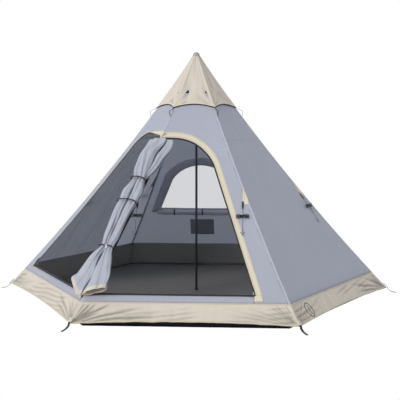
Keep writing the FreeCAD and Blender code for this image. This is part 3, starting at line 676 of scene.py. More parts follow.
def make_cord(ridge, face, sign):
    """One guy line: from its tab down into a hank, then a tail with its runner and stopper knot."""
    side = guy_side(sign)
    route = list(LEAD_ROUTE) + hank_route(ridge) + list(TAIL_ROUTE)
    points = [on_wall(face, side + across, height, lift) for across, height, lift in route]
    curve = bpy.data.curves.new("guy_line_%d" % ridge, "CURVE")
    curve.dimensions = "3D"
    curve.bevel_depth = CORD_DIAMETER / 2
    curve.bevel_resolution = 3
    curve.resolution_u = 3
    spline = curve.splines.new("NURBS")
    spline.points.add(len(points) - 1)
    for place, point in zip(spline.points, points):
        place.co = (*point, 1.0)
    spline.order_u = 3
    spline.use_endpoint_u = True
    curve.materials.append(MATERIALS["cord"])
    made = bpy.data.objects.new("guy_line_%d" % ridge, curve)
    scene.collection.objects.link(made)
    place_piece(made, SHELL, "cord", "guy_lines", "guy_hank_%d" % ridge)

    middle = on_wall(face, side, HANK_UP, 0.0145)
    level = directions(face)[1]
    outward = (on_wall(face, side, HANK_UP, 0.1) - on_wall(face, side, HANK_UP, 0.0)).normalized()
    upward = outward.cross(level).normalized()
    loop = [middle + upward * (0.0088 * math.copysign(abs(math.cos(a)) ** 0.6, math.cos(a)))
            + outward * (0.0128 * math.copysign(abs(math.sin(a)) ** 0.6, math.sin(a)))
            for a in turns(28, closed=True)]
    tie = ribbon("guy_tie_%d" % ridge, loop, level, 0.010, 0.0014, "webbing")
    place_piece(tie, SHELL, "webbing")

    low = on_wall(face, side, TAIL_ROUTE[-1][1], TAIL_ROUTE[-1][2])
    knot_path = []
    for step in range(37):
        turn = 2 * math.pi * step / 36
        swing = 0.0016 * (2 + math.cos(3 * turn))
        knot_path.append(low + Vector((0, 0, -0.0035)) + level * swing * math.cos(2 * turn)
                         + outward * swing * math.sin(2 * turn) * 0.8 + upward * 0.0018 * math.sin(3 * turn))
    knot = round_tube("guy_knot_%d" % ridge, knot_path, CORD_DIAMETER * 0.42, "cord", 8)
    place_piece(knot, SHELL, "cord")
    runner = make_runner(ridge, level)
    cord_length(route, face, side)


def cord_length(route, face, side):
    """Length of the smooth curve that has the route's points as its control points."""
    points = [on_wall(face, side + across, height, lift) for across, height, lift in route]
    middles = [(first + second) / 2 for first, second in zip(points, points[1:])]
    total = (middles[0] - points[0]).length + (points[-1] - middles[-1]).length
    for first, corner, second in zip(middles, points[1:], middles[1:]):
        before = first
        for step in range(1, 7):
            share = step / 6
            here = first * (1 - share) ** 2 + corner * 2 * share * (1 - share) + second * share ** 2
            total += (here - before).length
            before = here
    return total


def make_runner(ridge, level):
    """Shallow curved line runner with a pale middle."""
    centre = box_of("guy_runner_%d" % ridge)[0]
    path = []
    radii = []
    for step in range(17):
        place = step / 8 - 1
        path.append(centre + level * 0.0185 * place + Vector((0, 0, 0.0045 * place ** 2 - 0.0015)))
        radii.append(0.0034 * (1 - 0.35 * abs(place) ** 6) * (0.72 if 0.2 < abs(place) < 0.6 else 1))
    body = round_tube("guy_runner_body_%d" % ridge, path, radii, "plastic", 12)
    place_piece(body, "guy_runner_%d" % ridge, "hard_plastic", "guy_runner_%d" % ridge)
    sleeve_path = [centre + level * 0.0068 * (step / 4 - 1) + Vector((0, 0, -0.0014)) for step in range(9)]
    sleeve = round_tube("guy_runner_sleeve_%d" % ridge, sleeve_path, 0.0036, "grey_plastic", 12)
    place_piece(sleeve, "guy_runner_%d" % ridge, "hard_plastic")
    return body


for guy in GUY_SIDES:
    make_cord(*guy)


# ---------------------------------------------------------------- walls

def sink(face, side, height):
    """How far the taut wall sags inward at a point, with a few soft folds."""
    across = min(abs(side) / half_side(height), 1.0)
    hold = (1 - across ** 2) * smooth(0.20, 0.45, height) * (1 - smooth(1.65, 1.9, height))
    folds = 0.0042 * wrinkle(side, height * 0.22, 7.5, face * 0.37)
    soft = 0.0015 * wrinkle(side, height, 14.0, face * 0.71 + 3)
    return hold * (0.0060 + folds + soft)


def against(face, lift):
    """Placing function for a piece that lies on a wall, its outer side at a lift."""
    def place(side, height, depth):
        return on_wall(face, side, height, lift - depth - sink(face, side, height))
    return place


def front_doorway(inset=0.0):
    side = inset * 1.06
    start = (0.208 - side, 1.246)
    top = (-0.189, 1.499 - inset)
    corner = (-0.252 + side * 1.5, 1.499 - inset)
    foot = (-0.784 + side * 1.5, SILL + inset)
    return ([foot, (0.570 - side, SILL + inset), start]
            + arc_points(start, top, 0.410 - inset, 18) + [corner]
            + arc_points(corner, foot, -22.0, 14)[:-1])


def left_doorway(inset=0.0):
    side = inset * 1.07
    foot = (0.784 - side * 1.5, SILL + inset)
    corner = (0.238 - side * 1.5, 1.541 - inset)
    top = (-0.060, 1.541 - inset)
    shoulder = (-0.255 + side, 1.359)
    return ([(-0.695 + side, SILL + inset), foot] + arc_points(foot, corner, -22.0, 14)
            + [top] + arc_points(top, shoulder, 0.254 - inset, 12))


def arched(foot, low, shoulder, shoulder_up, radius):
    return [(-foot, low), (foot, low), (shoulder, shoulder_up)] + arc_points(
        (shoulder, shoulder_up), (-shoulder, shoulder_up), radius, 16)


def wall_outline(low, high):
    return ridge_edge(1, low, high) + ridge_edge(-1, high, low)


def flat_area(outer, *holes):
    """Area of the cut from its outline and holes."""
    def area(loop):
        return abs(sum(x1 * y2 - x2 * y1 for (x1, y1), (x2, y2) in zip(loop, loop[1:] + loop[:1]))) / 2
    return area(outer) - sum(area(hole) for hole in holes)


# Length up the hollow wall for each unit of height, taken as one average for the whole wall.
STEEPNESS = 1.15
LEAST_FILL = 0.35


def declare_flat(loops):
    """Works out a sheet's flat area, width and length from its outline on the wall, and keeps none of them.

    The area is the cut's. The width isn't the cut's for the front and front left walls and the window
    """
    xs = [point[0] for point in loops[0]]
    ys = [point[1] for point in loops[0]]
    width, length = max(xs) - min(xs), (max(ys) - min(ys)) * STEEPNESS
    area = min(flat_area(*loops) * STEEPNESS, width * length)
    width = min(width, area / LEAST_FILL / length)


WINDOW = arched(0.450, 0.690, 0.300, 1.020, 0.361)
WINDOW_FRAME = arched(0.560, 0.640, 0.381, 1.065, 0.470)


def make_panels():
    """Six wall panels, with the two doorways and the rear window cut out."""
    holes = {"front": [front_doorway()], "front_left": [left_doorway()], "back": [WINDOW]}
    for name, face in FACES.items():
        loops = [wall_outline(SKIRT_TOP, BODY_TOP)] + holes.get(name, [])
        made = sheet_mesh("wall_" + name, loops, 0.026, against(face, 0.0), ["wall", "wall_inside"])
        place_piece(made, SHELL, "wall_cloth", "panel_" + name)
        declare_flat(loops)


def make_wall_seams():
    """Level joining seams across the upper walls, as narrow lapped strips."""
    for name, face in FACES.items():
        up = 1.386 if name == "front" else 1.483
        low = 0.195 if name == "front" else -half_side(up) + 0.012
        high = -0.215 if name == "front_left" else half_side(up) - 0.012
        sides = [low + (high - low) * step / 40 for step in range(41)]
        path = [on_wall(face, side, up, 0.0006 - sink(face, side, up)) for side in sides]
        upward = (on_wall(face, 0, up + 0.01) - on_wall(face, 0, up)).normalized()
        made = ribbon("wall_seam_" + name, path, upward, 0.009, 0.0014, "door")
        place_piece(made, SHELL, "wall_cloth")


def make_ridge_seams():
    """Felled seam down each ridge, lapped over both walls."""
    for ridge in RIDGES:
        before, after = (ridge - 30) % 360, (ridge + 30) % 360
        outward = directions(ridge)[0]
        rings = []
        for step in range(61):
            height = SKIRT_TOP - 0.001 + (BODY_TOP - SKIRT_TOP + 0.001) * step / 60
            half = half_side(height)
            crest = outward * (ridge_out(height) + 0.0012) + Vector((0, 0, height))
            rings.append([
                on_wall(before, half - 0.013, height, -0.0004), on_wall(before, half - 0.012, height, 0.0007),
                on_wall(before, half - 0.003, height, 0.0009), crest,
                on_wall(after, -half + 0.003, height, 0.0009), on_wall(after, -half + 0.012, height, 0.0007),
                on_wall(after, -half + 0.013, height, -0.0004),
                outward * (ridge_out(height) - 0.002) + Vector((0, 0, height))])
        made = loft("ridge_seam_%d" % ridge, rings, ["door"])
        place_piece(made, SHELL, "wall_cloth")


make_panels()
make_wall_seams()
make_ridge_seams()


# ---------------------------------------------------------------- skirts

# How strongly each skirt is creased from its left (-1) and right (1) corner.
FAN_STRENGTH = {(270, -1): 1.0, (270, 1): 0.45, (330, -1): 0.35, (330, 1): 0.8,
                (210, -1): 0.4, (210, 1): 0.55}
FAN_RAYS = 9
# Depths of the skirts' creases in metres, and how dark their bottoms are drawn as painted shade.
FAN_DEPTH = 0.0095
LONG_DEPTH = 0.0060
UPRIGHT_DEPTH = 0.0060
FAN_PAINTED_SHADE = 1.05
LONG_PAINTED_SHADE = 0.42
DARKEST_PAINTED_SHADE = 0.75


def fan_creases(face, side, height):
    """Sharp creases that fan out from the pegged corners: their depth, from 0 to about 1."""
    depth = 0.0
    for sign in (-1, 1):
        strength = FAN_STRENGTH.get((face, sign), 0.5)
        dx = max(0.930 + side * -sign, 0.001)
        dz = height - 0.040
        reach = math.hypot(dx, dz)
        angle = math.atan2(dz, dx)
        for ray in range(FAN_RAYS):
            jitter = math.sin(ray * 5.1 + face * 0.7 + sign)
            aim = 0.05 + 0.075 * ray + 0.010 * ray ** 1.5 + 0.018 * jitter
            extent = 0.24 + 0.22 * (0.5 + 0.5 * math.sin(ray * 2.3 + face + sign)) + 0.30 * (ray < 3)
            away = reach * math.sin(angle - aim) + 0.006 * math.sin(reach * 11 + ray)
            wide = 0.0046 + 0.009 * reach
            fade = smooth(0.02, 0.10, reach) * (1 - smooth(extent * 0.5, extent, reach))
            depth += strength * fade * math.exp(-(away / wide) ** 2)
    return min(depth, 1.2)


def long_creases(face, side, height):
    """Shallow slanting drag lines along a skirt, between its fans."""
    slant = (height - 0.05) - 0.10 * (side + 0.93) - 0.004 * math.sin(side * 9 + face)
    wave = (slant / 0.034 + 0.6 * wrinkle(side, height, 2.5, face * 0.31)) % 1.0
    patchy = smooth(0.05, 0.45, wrinkle(side, height * 2, 3.2, face * 0.17 + 5) + 0.15)
    return math.exp(-((wave - 0.5) / 0.17) ** 2) * patchy


def skirt_hold(side, height):
    """1 where the skirt's cloth is free to crease, easing to 0 along its sewn edges."""
    return smooth(0.0, 0.035, SKIRT_TOP - height) * smooth(0.0, 0.04, half_side(height) - abs(side))


def skirt_folds(face, side, height):
    """How far a skirt stands out of its wall's surface."""
    upright = wrinkle(side, height * 0.2, 9.0, face * 0.53) + 0.5 * wrinkle(side, height * 0.35, 21.0, face)
    creases = FAN_DEPTH * fan_creases(face, side, height) + LONG_DEPTH * long_creases(face, side, height)
    return skirt_hold(side, height) * (UPRIGHT_DEPTH * upright - creases)


def skirt_shade(face):
    """Painted shade: how dark a skirt's cloth is drawn along its creases."""
    def shade(side, height):
        dark = FAN_PAINTED_SHADE * fan_creases(face, side, height) + LONG_PAINTED_SHADE * long_creases(face, side, height)
        return min(dark * skirt_hold(side, height), DARKEST_PAINTED_SHADE)
    return shade


def hem_outline():
    """Skirt outline: a shallow arched hem between the corners."""
    corner = (half_side(HEM_CORNER), HEM_CORNER)
    other = (-corner[0], HEM_CORNER)
    lower = [other] + [(-x, z) for x, z in arc_points(corner, other, 21.0, 60)]
    upper = ridge_edge(1, HEM_CORNER, SKIRT_TOP - 0.0003, steps=6)[1:]
    return lower[:-1] + [corner] + upper + [(-x, z) for x, z in reversed(upper)]


def make_skirts():
    outline = hem_outline()
    for name, face in FACES.items():
        def place(side, height, depth, face=face):
            return on_wall(face, side, height, skirt_folds(face, side, height) - depth)
        made = sheet_mesh("skirt_cloth_" + name, [outline], 0.0085, place, ["cream", "cream"],
                          shade=skirt_shade(face))
        hem_path = [on_wall(face, x, z + 0.006, skirt_folds(face, x, z + 0.006) + 0.0004)
                    for x, z in ((point[0] * 0.998, point[1]) for point in outline[:61])]
        across = [on_wall(face, 0, 0.08) - on_wall(face, 0, 0.07)] * len(hem_path)
        hem = ribbon("skirt_hem_" + name, hem_path, across, 0.012, 0.0034, "binding")
        place_piece(hem, SHELL, "cream_cloth")
        top_path = [on_wall(face, side, SKIRT_TOP - 0.002, 0.0008)
                    for side in (half_side(SKIRT_TOP) * (step / 40 - 1) * 0.999 for step in range(81))]
        top = ribbon("skirt_top_" + name, top_path, across[0], 0.009, 0.0022, "binding")
        place_piece(top, SHELL, "cream_cloth")
        place_piece(made, SHELL, "cream_cloth", "skirt_" + name)
        declare_flat([outline])


make_skirts()


# ---------------------------------------------------------------- doorways

def edge_ribbon(name, edge, face, width, lift, material, inward=False, taper=None, thick=0.002):
    """Tape along an outline on a wall, lying outside it (or inside), following the wall's sag."""
    rings = []
    for index, (x, z) in enumerate(edge):
        before = Vector(edge[max(index - 1, 0)])
        after = Vector(edge[min(index + 1, len(edge) - 1)])
        run = (after - before).normalized()
        outward = Vector((run.y, -run.x)) * (-1 if inward else 1)
        reach = width * (taper(index / (len(edge) - 1)) if taper else 1)
        far = Vector((x, z)) + outward * reach
        near = Vector((x, z))
        rings.append([
            on_wall(face, near.x, near.y, lift - sink(face, near.x, near.y)),
            on_wall(face, far.x, far.y, lift - sink(face, far.x, far.y)),
            on_wall(face, far.x, far.y, lift - thick - sink(face, far.x, far.y)),
            on_wall(face, near.x, near.y, lift - thick - sink(face, near.x, near.y))])
    return loft(name, rings, [material], around=[0.0, 1.0, 1.02, 2.02, 2.04])


def resampled(points, spacing):
    """Open line resampled evenly."""
    found = [points[0]]
    for start, end in zip(points, points[1:]):
        length = math.dist(start, end)
        steps = max(1, round(length / spacing))
        for step in range(1, steps + 1):
            share = step / steps
            found.append((start[0] + (end[0] - start[0]) * share, start[1] + (end[1] - start[1]) * share))
    return found


BINDING_WIDTH = 0.048
BINDING_LIFT = 0.0023
ZIP_WIDTH = 0.013


def make_door_binding():
    """Cream binding round the front doorway, running on over the ridge to the left one."""
    front, left = FACES["front"], FACES["front_left"]
    edge = [(0.585, 0.212), (0.209, 1.246)] + arc_points((0.209, 1.246), (-0.189, 1.500), 0.411, 24)
    edge = resampled(edge + [(-half_side(1.50) + 0.001, 1.500)], 0.02)
    made = edge_ribbon("door_binding_front", edge, front, BINDING_WIDTH, BINDING_LIFT, "binding")
    place_piece(made, SHELL, "cream_cloth", "door_binding")

    start = half_side(1.50) - 0.001
    over = resampled([(start, 1.500), (start - 0.05, 1.518), (-0.010, 1.5415)], 0.01)
    made = edge_ribbon("door_binding_over", over, left, BINDING_WIDTH, BINDING_LIFT, "binding",
                       taper=lambda share: max(1 - share, 0.0) ** 0.8 * 0.9 + 0.1)
    place_piece(made, SHELL, "cream_cloth")

    top = (-0.060, 1.5415)
    shoulder = (-0.2555, 1.359)
    rest = resampled([(0.0, 1.5415), top] + arc_points(top, shoulder, 0.2545, 14) + [(-0.6955, 0.235)], 0.02)
    made = edge_ribbon("door_piping_left", rest, left, 0.007, BINDING_LIFT, "binding")
    place_piece(made, SHELL, "cream_cloth")


def make_zips_and_mesh():
    """Zip tape round both doorways, and the insect mesh that closes the left one."""
    front, left = FACES["front"], FACES["front_left"]
    for side, face, doorway in (("front", front, front_doorway), ("left", left, left_doorway)):
        loops = [doorway(0.0003), doorway(ZIP_WIDTH)]
        made = sheet_mesh(side + "_zip_tape", loops, 0.009, against(face, -0.0002), ["zip"], 0.002)
        place_piece(made, SHELL, "zip_plastic", side + "_door_zip")
    loop = left_doorway(0.0125)
    mesh = sheet_mesh("left_mesh_cloth", [loop], 0.03, against(left, -0.0008), ["mesh"], 0.0006)
    place_piece(mesh, SHELL, "insect_mesh", "left_door_mesh")
    declare_flat([loop])


def make_foot_patch():
    """Square of binding sewn over the foot of the front doorway's binding."""
    patch = [(0.553, 0.215), (0.630, 0.215), (0.612, 0.262), (0.560, 0.262)]
    made = sheet_mesh("binding_foot_patch", [patch], 0.01, against(FACES["front"], 0.0036), ["binding"],
                      0.0012)
    place_piece(made, SHELL, "cream_cloth")


def make_sills():
    """Strip of wall cloth below each doorway."""
    spans = (("front", FACES["front"], -0.780, 0.560), ("left", FACES["front_left"], -0.690, 0.780))
    for name, face, low, high in spans:
        strip = [(low, SKIRT_TOP + 0.004), (high, SKIRT_TOP + 0.004), (high - 0.01, SILL - 0.001),
                 (low + 0.01, SILL - 0.001)]
        made = sheet_mesh("sill_strip_" + name, [strip], 0.012, against(face, 0.0009), ["sill"], 0.0008)
        place_piece(made, SHELL, "wall_cloth")


make_door_binding()
make_zips_and_mesh()
make_foot_patch()
make_sills()


# ---------------------------------------------------------------- rear window

# Places of the ties along the rolled cover, as shares of half its length.
COVER_TIES = (-0.62, 0.0, 0.62)


def make_window():
    """Clear film and its cloth surround."""
    back = FACES["back"]
    film = sheet_mesh("window_film", [WINDOW], 0.03, against(back, -0.0008), ["film"], 0.0006)
    place_piece(film, SHELL, "clear_film", "window_pane")
    declare_flat([WINDOW])
    loops = [WINDOW_FRAME, WINDOW]
    made = sheet_mesh("window_surround", loops, 0.025, against(back, -0.0028), ["dark"], 0.0015)
    place_piece(made, SHELL, "wall_cloth", "window_frame")
    declare_flat(loops)


def make_window_cover():
    """The cover rolled up below the window, and the ties round it."""
    centre, low, high = box_of("window_cover_roll")
    half = (high.x - low.x) / 2
    radius = (high.z - low.z) / 2
    rings = []
    for step in range(61):
        place = step / 30 - 1
        ring = []
        swell = radius * (0.86 + 0.10 * wrinkle(place, 0.3, 5.0, 2.0)) * (1 - 0.25 * abs(place) ** 12)
        tied = 1 - 0.25 * sum(math.exp(-((place - spot) / 0.035) ** 2) for spot in COVER_TIES)
        for side in range(28):
            turn = 2 * math.pi * side / 28
            crease = 1 + 0.08 * wrinkle(place * 1.5, turn, 4.0, 9.0) + 0.05 * math.sin(turn * 3 + place * 4)
            reach = min(swell * tied * crease, radius)
            ring.append(centre + Vector((half * place * 0.995,
                                         math.cos(turn) * reach, math.sin(turn) * reach)))
        rings.append(ring)
    made = loft("window_cover", rings, ["dark"])
    place_piece(made, SHELL, "wall_cloth", "window_cover_roll")
    for number, spot in enumerate(COVER_TIES):
        loop = [centre + Vector((half * spot, math.cos(turn) * radius * 0.93, math.sin(turn) * radius * 0.93))
                for turn in turns(28, closed=True)]
        band = ribbon("window_cover_tie_%d" % number, loop, Vector((1, 0, 0)), 0.012, 0.0012, "webbing")
        place_piece(band, SHELL, "webbing")


def make_pocket():
    """Slack patch pocket on the inside of the back wall."""
    back = FACES["back"]
    pocket = [(-0.118, 0.375), (0.142, 0.375), (0.142, 0.560), (-0.118, 0.560)]

    def bulge(side, height, depth):
        across = 1 - ((side - 0.012) / 0.13) ** 2
        up = max(0.0, (0.56 - height) / 0.185)
        belly = 0.004 * max(across, 0) * (1 - (1 - up) ** 4)
        return on_wall(back, side, height, -0.0027 - belly - depth - sink(back, side, height))
    made = sheet_mesh("pocket_cloth", [pocket], 0.015, bulge, ["pocket"], 0.0012)
    place_piece(made, SHELL, "wall_cloth", "inner_pocket")
    declare_flat([pocket])


make_window()
make_window_cover()
make_pocket()


# ---------------------------------------------------------------- groundsheet

def make_groundsheet():
    """Tub groundsheet: one cloth, floor and upturned sides, with creases and slack."""
    _, base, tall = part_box("groundsheet")[1]
    rim = base - 0.035
    corner_turns = [math.radians(ridge) for ridge in RIDGES]

    def floor_up(x, y):
        return 0.0016 * abs(wrinkle(x, y, 5.0, 4.0)) + 0.002 * abs(wrinkle(x, y * 0.4, 2.2, 8.0)) ** 2

    hexagon = [(base / HALF_FACE * math.cos(turn), base / HALF_FACE * math.sin(turn))
               for turn in corner_turns]

    def place(x, y, depth):
        return Vector((x, y, 0.003 + floor_up(x, y) - depth))
    floor = sheet_mesh("tub_floor", [hexagon], 0.045, place, ["tub", "tub_edge"], 0.003)
    place_piece(floor, SHELL, "groundsheet_cloth", "groundsheet")
    for name, face in FACES.items():
        foot = base * HALF_SIDE
        head = rim * HALF_SIDE
        outline = [(-foot, 0.003), (foot, 0.003), (head, tall), (-head, tall)]
        turn = math.radians(face)

        def stand(x, z, depth, turn=turn, face=face):
            lean = (base - (base - rim) * z / tall)
            hold = smooth(0, 0.08, foot - abs(x)) * smooth(0.0, 0.04, z)
            slack = 0.009 * hold * (0.6 + wrinkle(x, z * 0.5, 4.0, face) + 0.4 * wrinkle(x, z, 12.0, face))
            out = lean - depth - max(slack, 0.0)
            return Vector((out * math.cos(turn) - x * math.sin(turn),
                           out * math.sin(turn) + x * math.cos(turn), z))
        made = sheet_mesh("tub_side_" + name, [outline], 0.022, stand, ["tub_edge", "tub_side"], 0.0025)
        place_piece(made, SHELL, "groundsheet_cloth", "groundsheet")


make_groundsheet()


# ---------------------------------------------------------------- rain cap

CAP_SECTIONS = ((1.768, 0.329), (2.029, 0.162), (2.290, 0.009))
SCALLOP_RADIUS = 0.600


def cap_out(height):
    """Distance from the axis to the middle of a cap side, through its three sections."""
    total = 0.0
    for index, (here, out) in enumerate(CAP_SECTIONS):
        share = out
        for other, (there, _) in enumerate(CAP_SECTIONS):
            if other != index:
                share *= (height - there) / (here - there)
        total += share
    return total


CAP_FOOT = CAP_SECTIONS[0][0]
CAP_PEAK = CAP_SECTIONS[2][0]
CAP_CLOTH_TOP = CAP_PEAK - 0.004
CAP_HALF_SIDE = cap_out(CAP_FOOT) * HALF_SIDE


def cap_edge(side):
    """Height of the arched lower edge at a distance from the middle of a side."""
    side = min(abs(side), CAP_HALF_SIDE)
    return (CAP_FOOT + 0.004 + math.sqrt(SCALLOP_RADIUS ** 2 - side ** 2)
            - math.sqrt(SCALLOP_RADIUS ** 2 - CAP_HALF_SIDE ** 2))


def cap_crease(face, across, height):
    """Folds of the cap: strained creases rising from the tied corners, and soft upright ones."""
    share = (height - CAP_FOOT) / (CAP_PEAK - CAP_FOOT)
    total = 0.0
    for sign, strength, spread in ((-1, 1.0, 1.0), (1, 0.6, 1.25)):
        dx = 1 + sign * across
        angle = math.atan2(share * 2.2, max(dx, 0.001))
        reach = math.hypot(dx * 0.3, share)
        ripple = math.sin(9.0 * spread * angle + face * 0.19 + sign * 0.7)
        total += strength * ripple * math.exp(-reach / 0.34) * smooth(0.02, 0.12, reach)
    upright = wrinkle(across * 0.9, share * 0.5, 3.4, face * 0.23) * (1 - 0.5 * share)
    hold = smooth(0.0, 0.30, 1 - abs(across)) * smooth(0.0, 0.07, share) * (1 - smooth(0.9, 1.0, share))
    return hold * (0.0085 * total + 0.010 * upright - 0.003)


def cap_shade(face, across, height):
    """Painted shade: how dark the cap's cloth is drawn in the bottom of a fold."""
    return min(max(-cap_crease(face, across, height) - 0.001, 0.0) * 28, 0.4)


def on_cap(face, across, height, lift=0.0):
    """Point on a cap side; across runs from -1 to 1 between its ridges."""
    out = cap_out(height) + lift
    side = across * cap_out(height) * HALF_SIDE
    turn = math.radians(face)
    return Vector((out * math.cos(turn) - side * math.sin(turn),
                   out * math.sin(turn) + side * math.cos(turn), height))


def make_cap_cloth():
    """Cap cloth in one piece: six sides with an arched hem, creased towards its tied corners."""
    columns, rows = 24, 64
    count = columns * 6
    points, uvs, shades = [], [], []
    for layer in (0, 1):
        for row in range(rows + 1):
            climb = row / rows
            for face in sorted(FACES.values()):
                for column in range(columns):
                    across = column / columns * 2 - 1
                    low = cap_edge(across * CAP_HALF_SIDE)
                    height = low + (CAP_CLOTH_TOP - low) * climb
                    lift = cap_crease(face, across, height) - layer * 0.0022
                    points.append(on_cap(face, across, height, lift))
                    shades.append(cap_shade(face, across, height))
                    uvs.append((across * cap_out(height) * 0.577 + face, (height - low) * 1.18))
    size = count * (rows + 1)
    faces = []
    for row in range(rows):
        for index in range(count):
            after = (index + 1) % count
            quad = (row * count + index, row * count + after,
                    (row + 1) * count + after, (row + 1) * count + index)
            faces.append(quad)
            faces.append(tuple(corner + size for corner in reversed(quad)))
    for row in (0, rows):
        for index in range(count):
            after = (index + 1) % count
            rim = (row * count + index, row * count + after)
            quad = (rim[1], rim[0], rim[0] + size, rim[1] + size)
            faces.append(quad if row == 0 else quad[::-1])
    made = make_mesh("cap_cloth", points, faces, ["cream"], uvs, shade=shades)
    sharpen(made, 40)
    return place_piece(made, "cap", "cream_cloth", "rain_cap")


def make_cap_edges():
    """Hem tape and black piping along the cap's arched lower edge."""
    hem_rings, piping_rings = [], []
    steps = 30
    for face in sorted(FACES.values()):
        for step in range(steps):
            across = step / steps * 2 - 1
            low = cap_edge(across * CAP_HALF_SIDE)
            bend = cap_crease(face, across, low + 0.012)
            hem_rings.append([on_cap(face, across, low - 0.0005, 0.0003 + bend * 0.3),
                              on_cap(face, across, low + 0.0005, 0.0013 + bend * 0.3),
                              on_cap(face, across, low + 0.0115, 0.0013 + bend),
                              on_cap(face, across, low + 0.0125, 0.0003 + bend)])
            centre = on_cap(face, across, low - 0.0042, -0.0010)
            outward = directions(face)[0]
            piping_rings.append([centre + outward * 0.0033 * math.cos(angle)
                                 + Vector((0, 0, 0.0046 * math.sin(angle)))
                                 for angle in turns(8)])
    hem = loft("cap_hem", hem_rings + hem_rings[:1], ["binding"],
               around=[0, 0.05, 0.95, 1.0, 1.9], caps=False)
    place_piece(hem, "cap", "cream_cloth")
    piping = loft("cap_edge_piping", piping_rings + piping_rings[:1], ["zip"], caps=False)
    place_piece(piping, "cap", "zip_plastic", "cap_piping")
    return hem, piping


def make_cap_seams():
    """Seam down each of the cap's ridges."""
    for ridge in RIDGES:
        outward, level = directions(ridge)
        rings = []
        for step in range(41):
            height = CAP_FOOT + 0.006 + (CAP_CLOTH_TOP - CAP_FOOT - 0.016) * step / 40
            crest = outward * (cap_out(height) / HALF_FACE) + Vector((0, 0, height))
            wide = min(0.006, 0.25 * cap_out(height))
            rings.append([crest - level * wide - outward * wide * 0.6,
                          crest - level * wide * 0.4 + outward * 0.0005,
                          crest + outward * 0.0018, crest + level * wide * 0.4 + outward * 0.0005,
                          crest + level * wide - outward * wide * 0.6])
        seam = loft("cap_seam_%d" % ridge, rings, ["cream"])
        place_piece(seam, "cap", "cream_cloth")


def make_cap_tip():
    """Domed plastic tip over the cap's peak."""
    foot = CAP_PEAK - 0.034
    rings = []
    for step in range(13):
        turn = math.pi / 2 * step / 12
        height = foot + 0.033 * math.sin(turn)
        reach = cap_out(foot) * 1.1 * max(math.cos(turn), 0.08) ** 0.7
        rings.append([Vector((reach * math.cos(angle), reach * math.sin(angle), height))
                      for angle in turns(18)])
    tip = loft("cap_tip", rings, ["grey_plastic"])
    return place_piece(tip, "cap", "hard_plastic")


def make_cap():
    """The rain cap's pieces."""
    made = make_cap_cloth()
    hem, piping = make_cap_edges()
    make_cap_seams()
    tip = make_cap_tip()


make_cap()


# ---------------------------------------------------------------- gathered doors

# Strands of gathered cloth down the door ridge: (height, sideways from the ridge, radius).
LEFT_STRAND = ((1.478, -0.080, 0.040), (1.40, -0.088, 0.040), (1.28, -0.080, 0.036), (1.20, -0.070, 0.035),
               (1.12, -0.042, 0.034), (1.02, -0.058, 0.047), (0.93, -0.052, 0.043), (0.85, -0.056, 0.046),
               (0.75, -0.050, 0.043), (0.66, -0.042, 0.037), (0.585, -0.034, 0.031), (0.50, -0.055, 0.052),
               (0.42, -0.074, 0.073), (0.33, -0.094, 0.090), (0.26, -0.104, 0.101))
RIGHT_STRAND = ((1.478, 0.014, 0.072), (1.40, 0.014, 0.074), (1.28, 0.022, 0.067), (1.20, 0.022, 0.055),
                (1.12, 0.026, 0.038), (1.02, 0.052, 0.052), (0.93, 0.048, 0.045), (0.85, 0.034, 0.038),
                (0.75, 0.034, 0.034), (0.66, 0.036, 0.034), (0.585, 0.034, 0.031), (0.50, 0.060, 0.054),
                (0.42, 0.072, 0.073), (0.33, 0.087, 0.092), (0.26, 0.096, 0.103))
TOP_SWAG = ((1.480, 0.098, 0.044), (1.43, 0.112, 0.050), (1.37, 0.122, 0.049), (1.30, 0.112, 0.045),
            (1.22, 0.090, 0.038), (1.17, 0.064, 0.030), (1.135, 0.044, 0.020))
TIE_HEIGHTS = (1.120, 0.930, 0.585)
BOTTOM_POINT = -0.045
TRIM = 0.035


def catmull(stations, value):
    """Smooth value of each column between stations, which run downwards."""
    for index in range(len(stations) - 1):
        if stations[index][0] >= value >= stations[index + 1][0]:
            break
    first = stations[max(index - 1, 0)]
    second, third = stations[index], stations[index + 1]
    fourth = stations[min(index + 2, len(stations) - 1)]
    share = (second[0] - value) / (second[0] - third[0])
    found = []
    for a, b, c, d in zip(first[1:], second[1:], third[1:], fourth[1:]):
        found.append(0.5 * (b * 2 + (c - a) * share + (a * 2 - b * 5 + c * 4 - d) * share ** 2
                            + (b * 3 - a - c * 3 + d) * share ** 3))
    return found


def bottom_edge(side):
    """Height of the gathered doors' lower edge, which hangs in a point."""
    rise = 0.95 if side < BOTTOM_POINT else 0.42
    return 0.214 + rise * abs(side - BOTTOM_POINT)


def strand_depth(height):
    """Thickness of a strand against its width: pressed flat where it is sewn and where it flares."""
    upper = 0.20 + 0.66 * (1 - smooth(1.30, 1.47, height))
    lower = 0.34 + 0.52 * smooth(0.34, 0.56, height)
    return min(upper, lower)


def strand_faces(sides, rows, trim_from):
    """Faces of a strand's outer and inner layer and of its edges; rows from trim_from on take the trim."""
    size = sides * (rows + 1)
    faces, slots = [], []
    for row in range(rows):
        for index in range(sides - 1):
            quad = (row * sides + index, row * sides + index + 1,
                    (row + 1) * sides + index + 1, (row + 1) * sides + index)
            faces += [quad[::-1], tuple(corner + size for corner in quad)]
            slots += [int(row >= trim_from)] * 2
    for row in (0, rows):
        for index in range(sides - 1):
            first, second = row * sides + index, row * sides + index + 1
            quad = (first, second, second + size, first + size)
            faces.append(quad if row == 0 else quad[::-1])
            slots.append(int(row > trim_from))
    for index in (0, sides - 1):
        for row in range(rows):
            first, second = row * sides + index, (row + 1) * sides + index
            quad = (second, first, first + size, second + size)
            faces.append(quad if index == 0 else quad[::-1])
            slots.append(0)
    return faces, slots


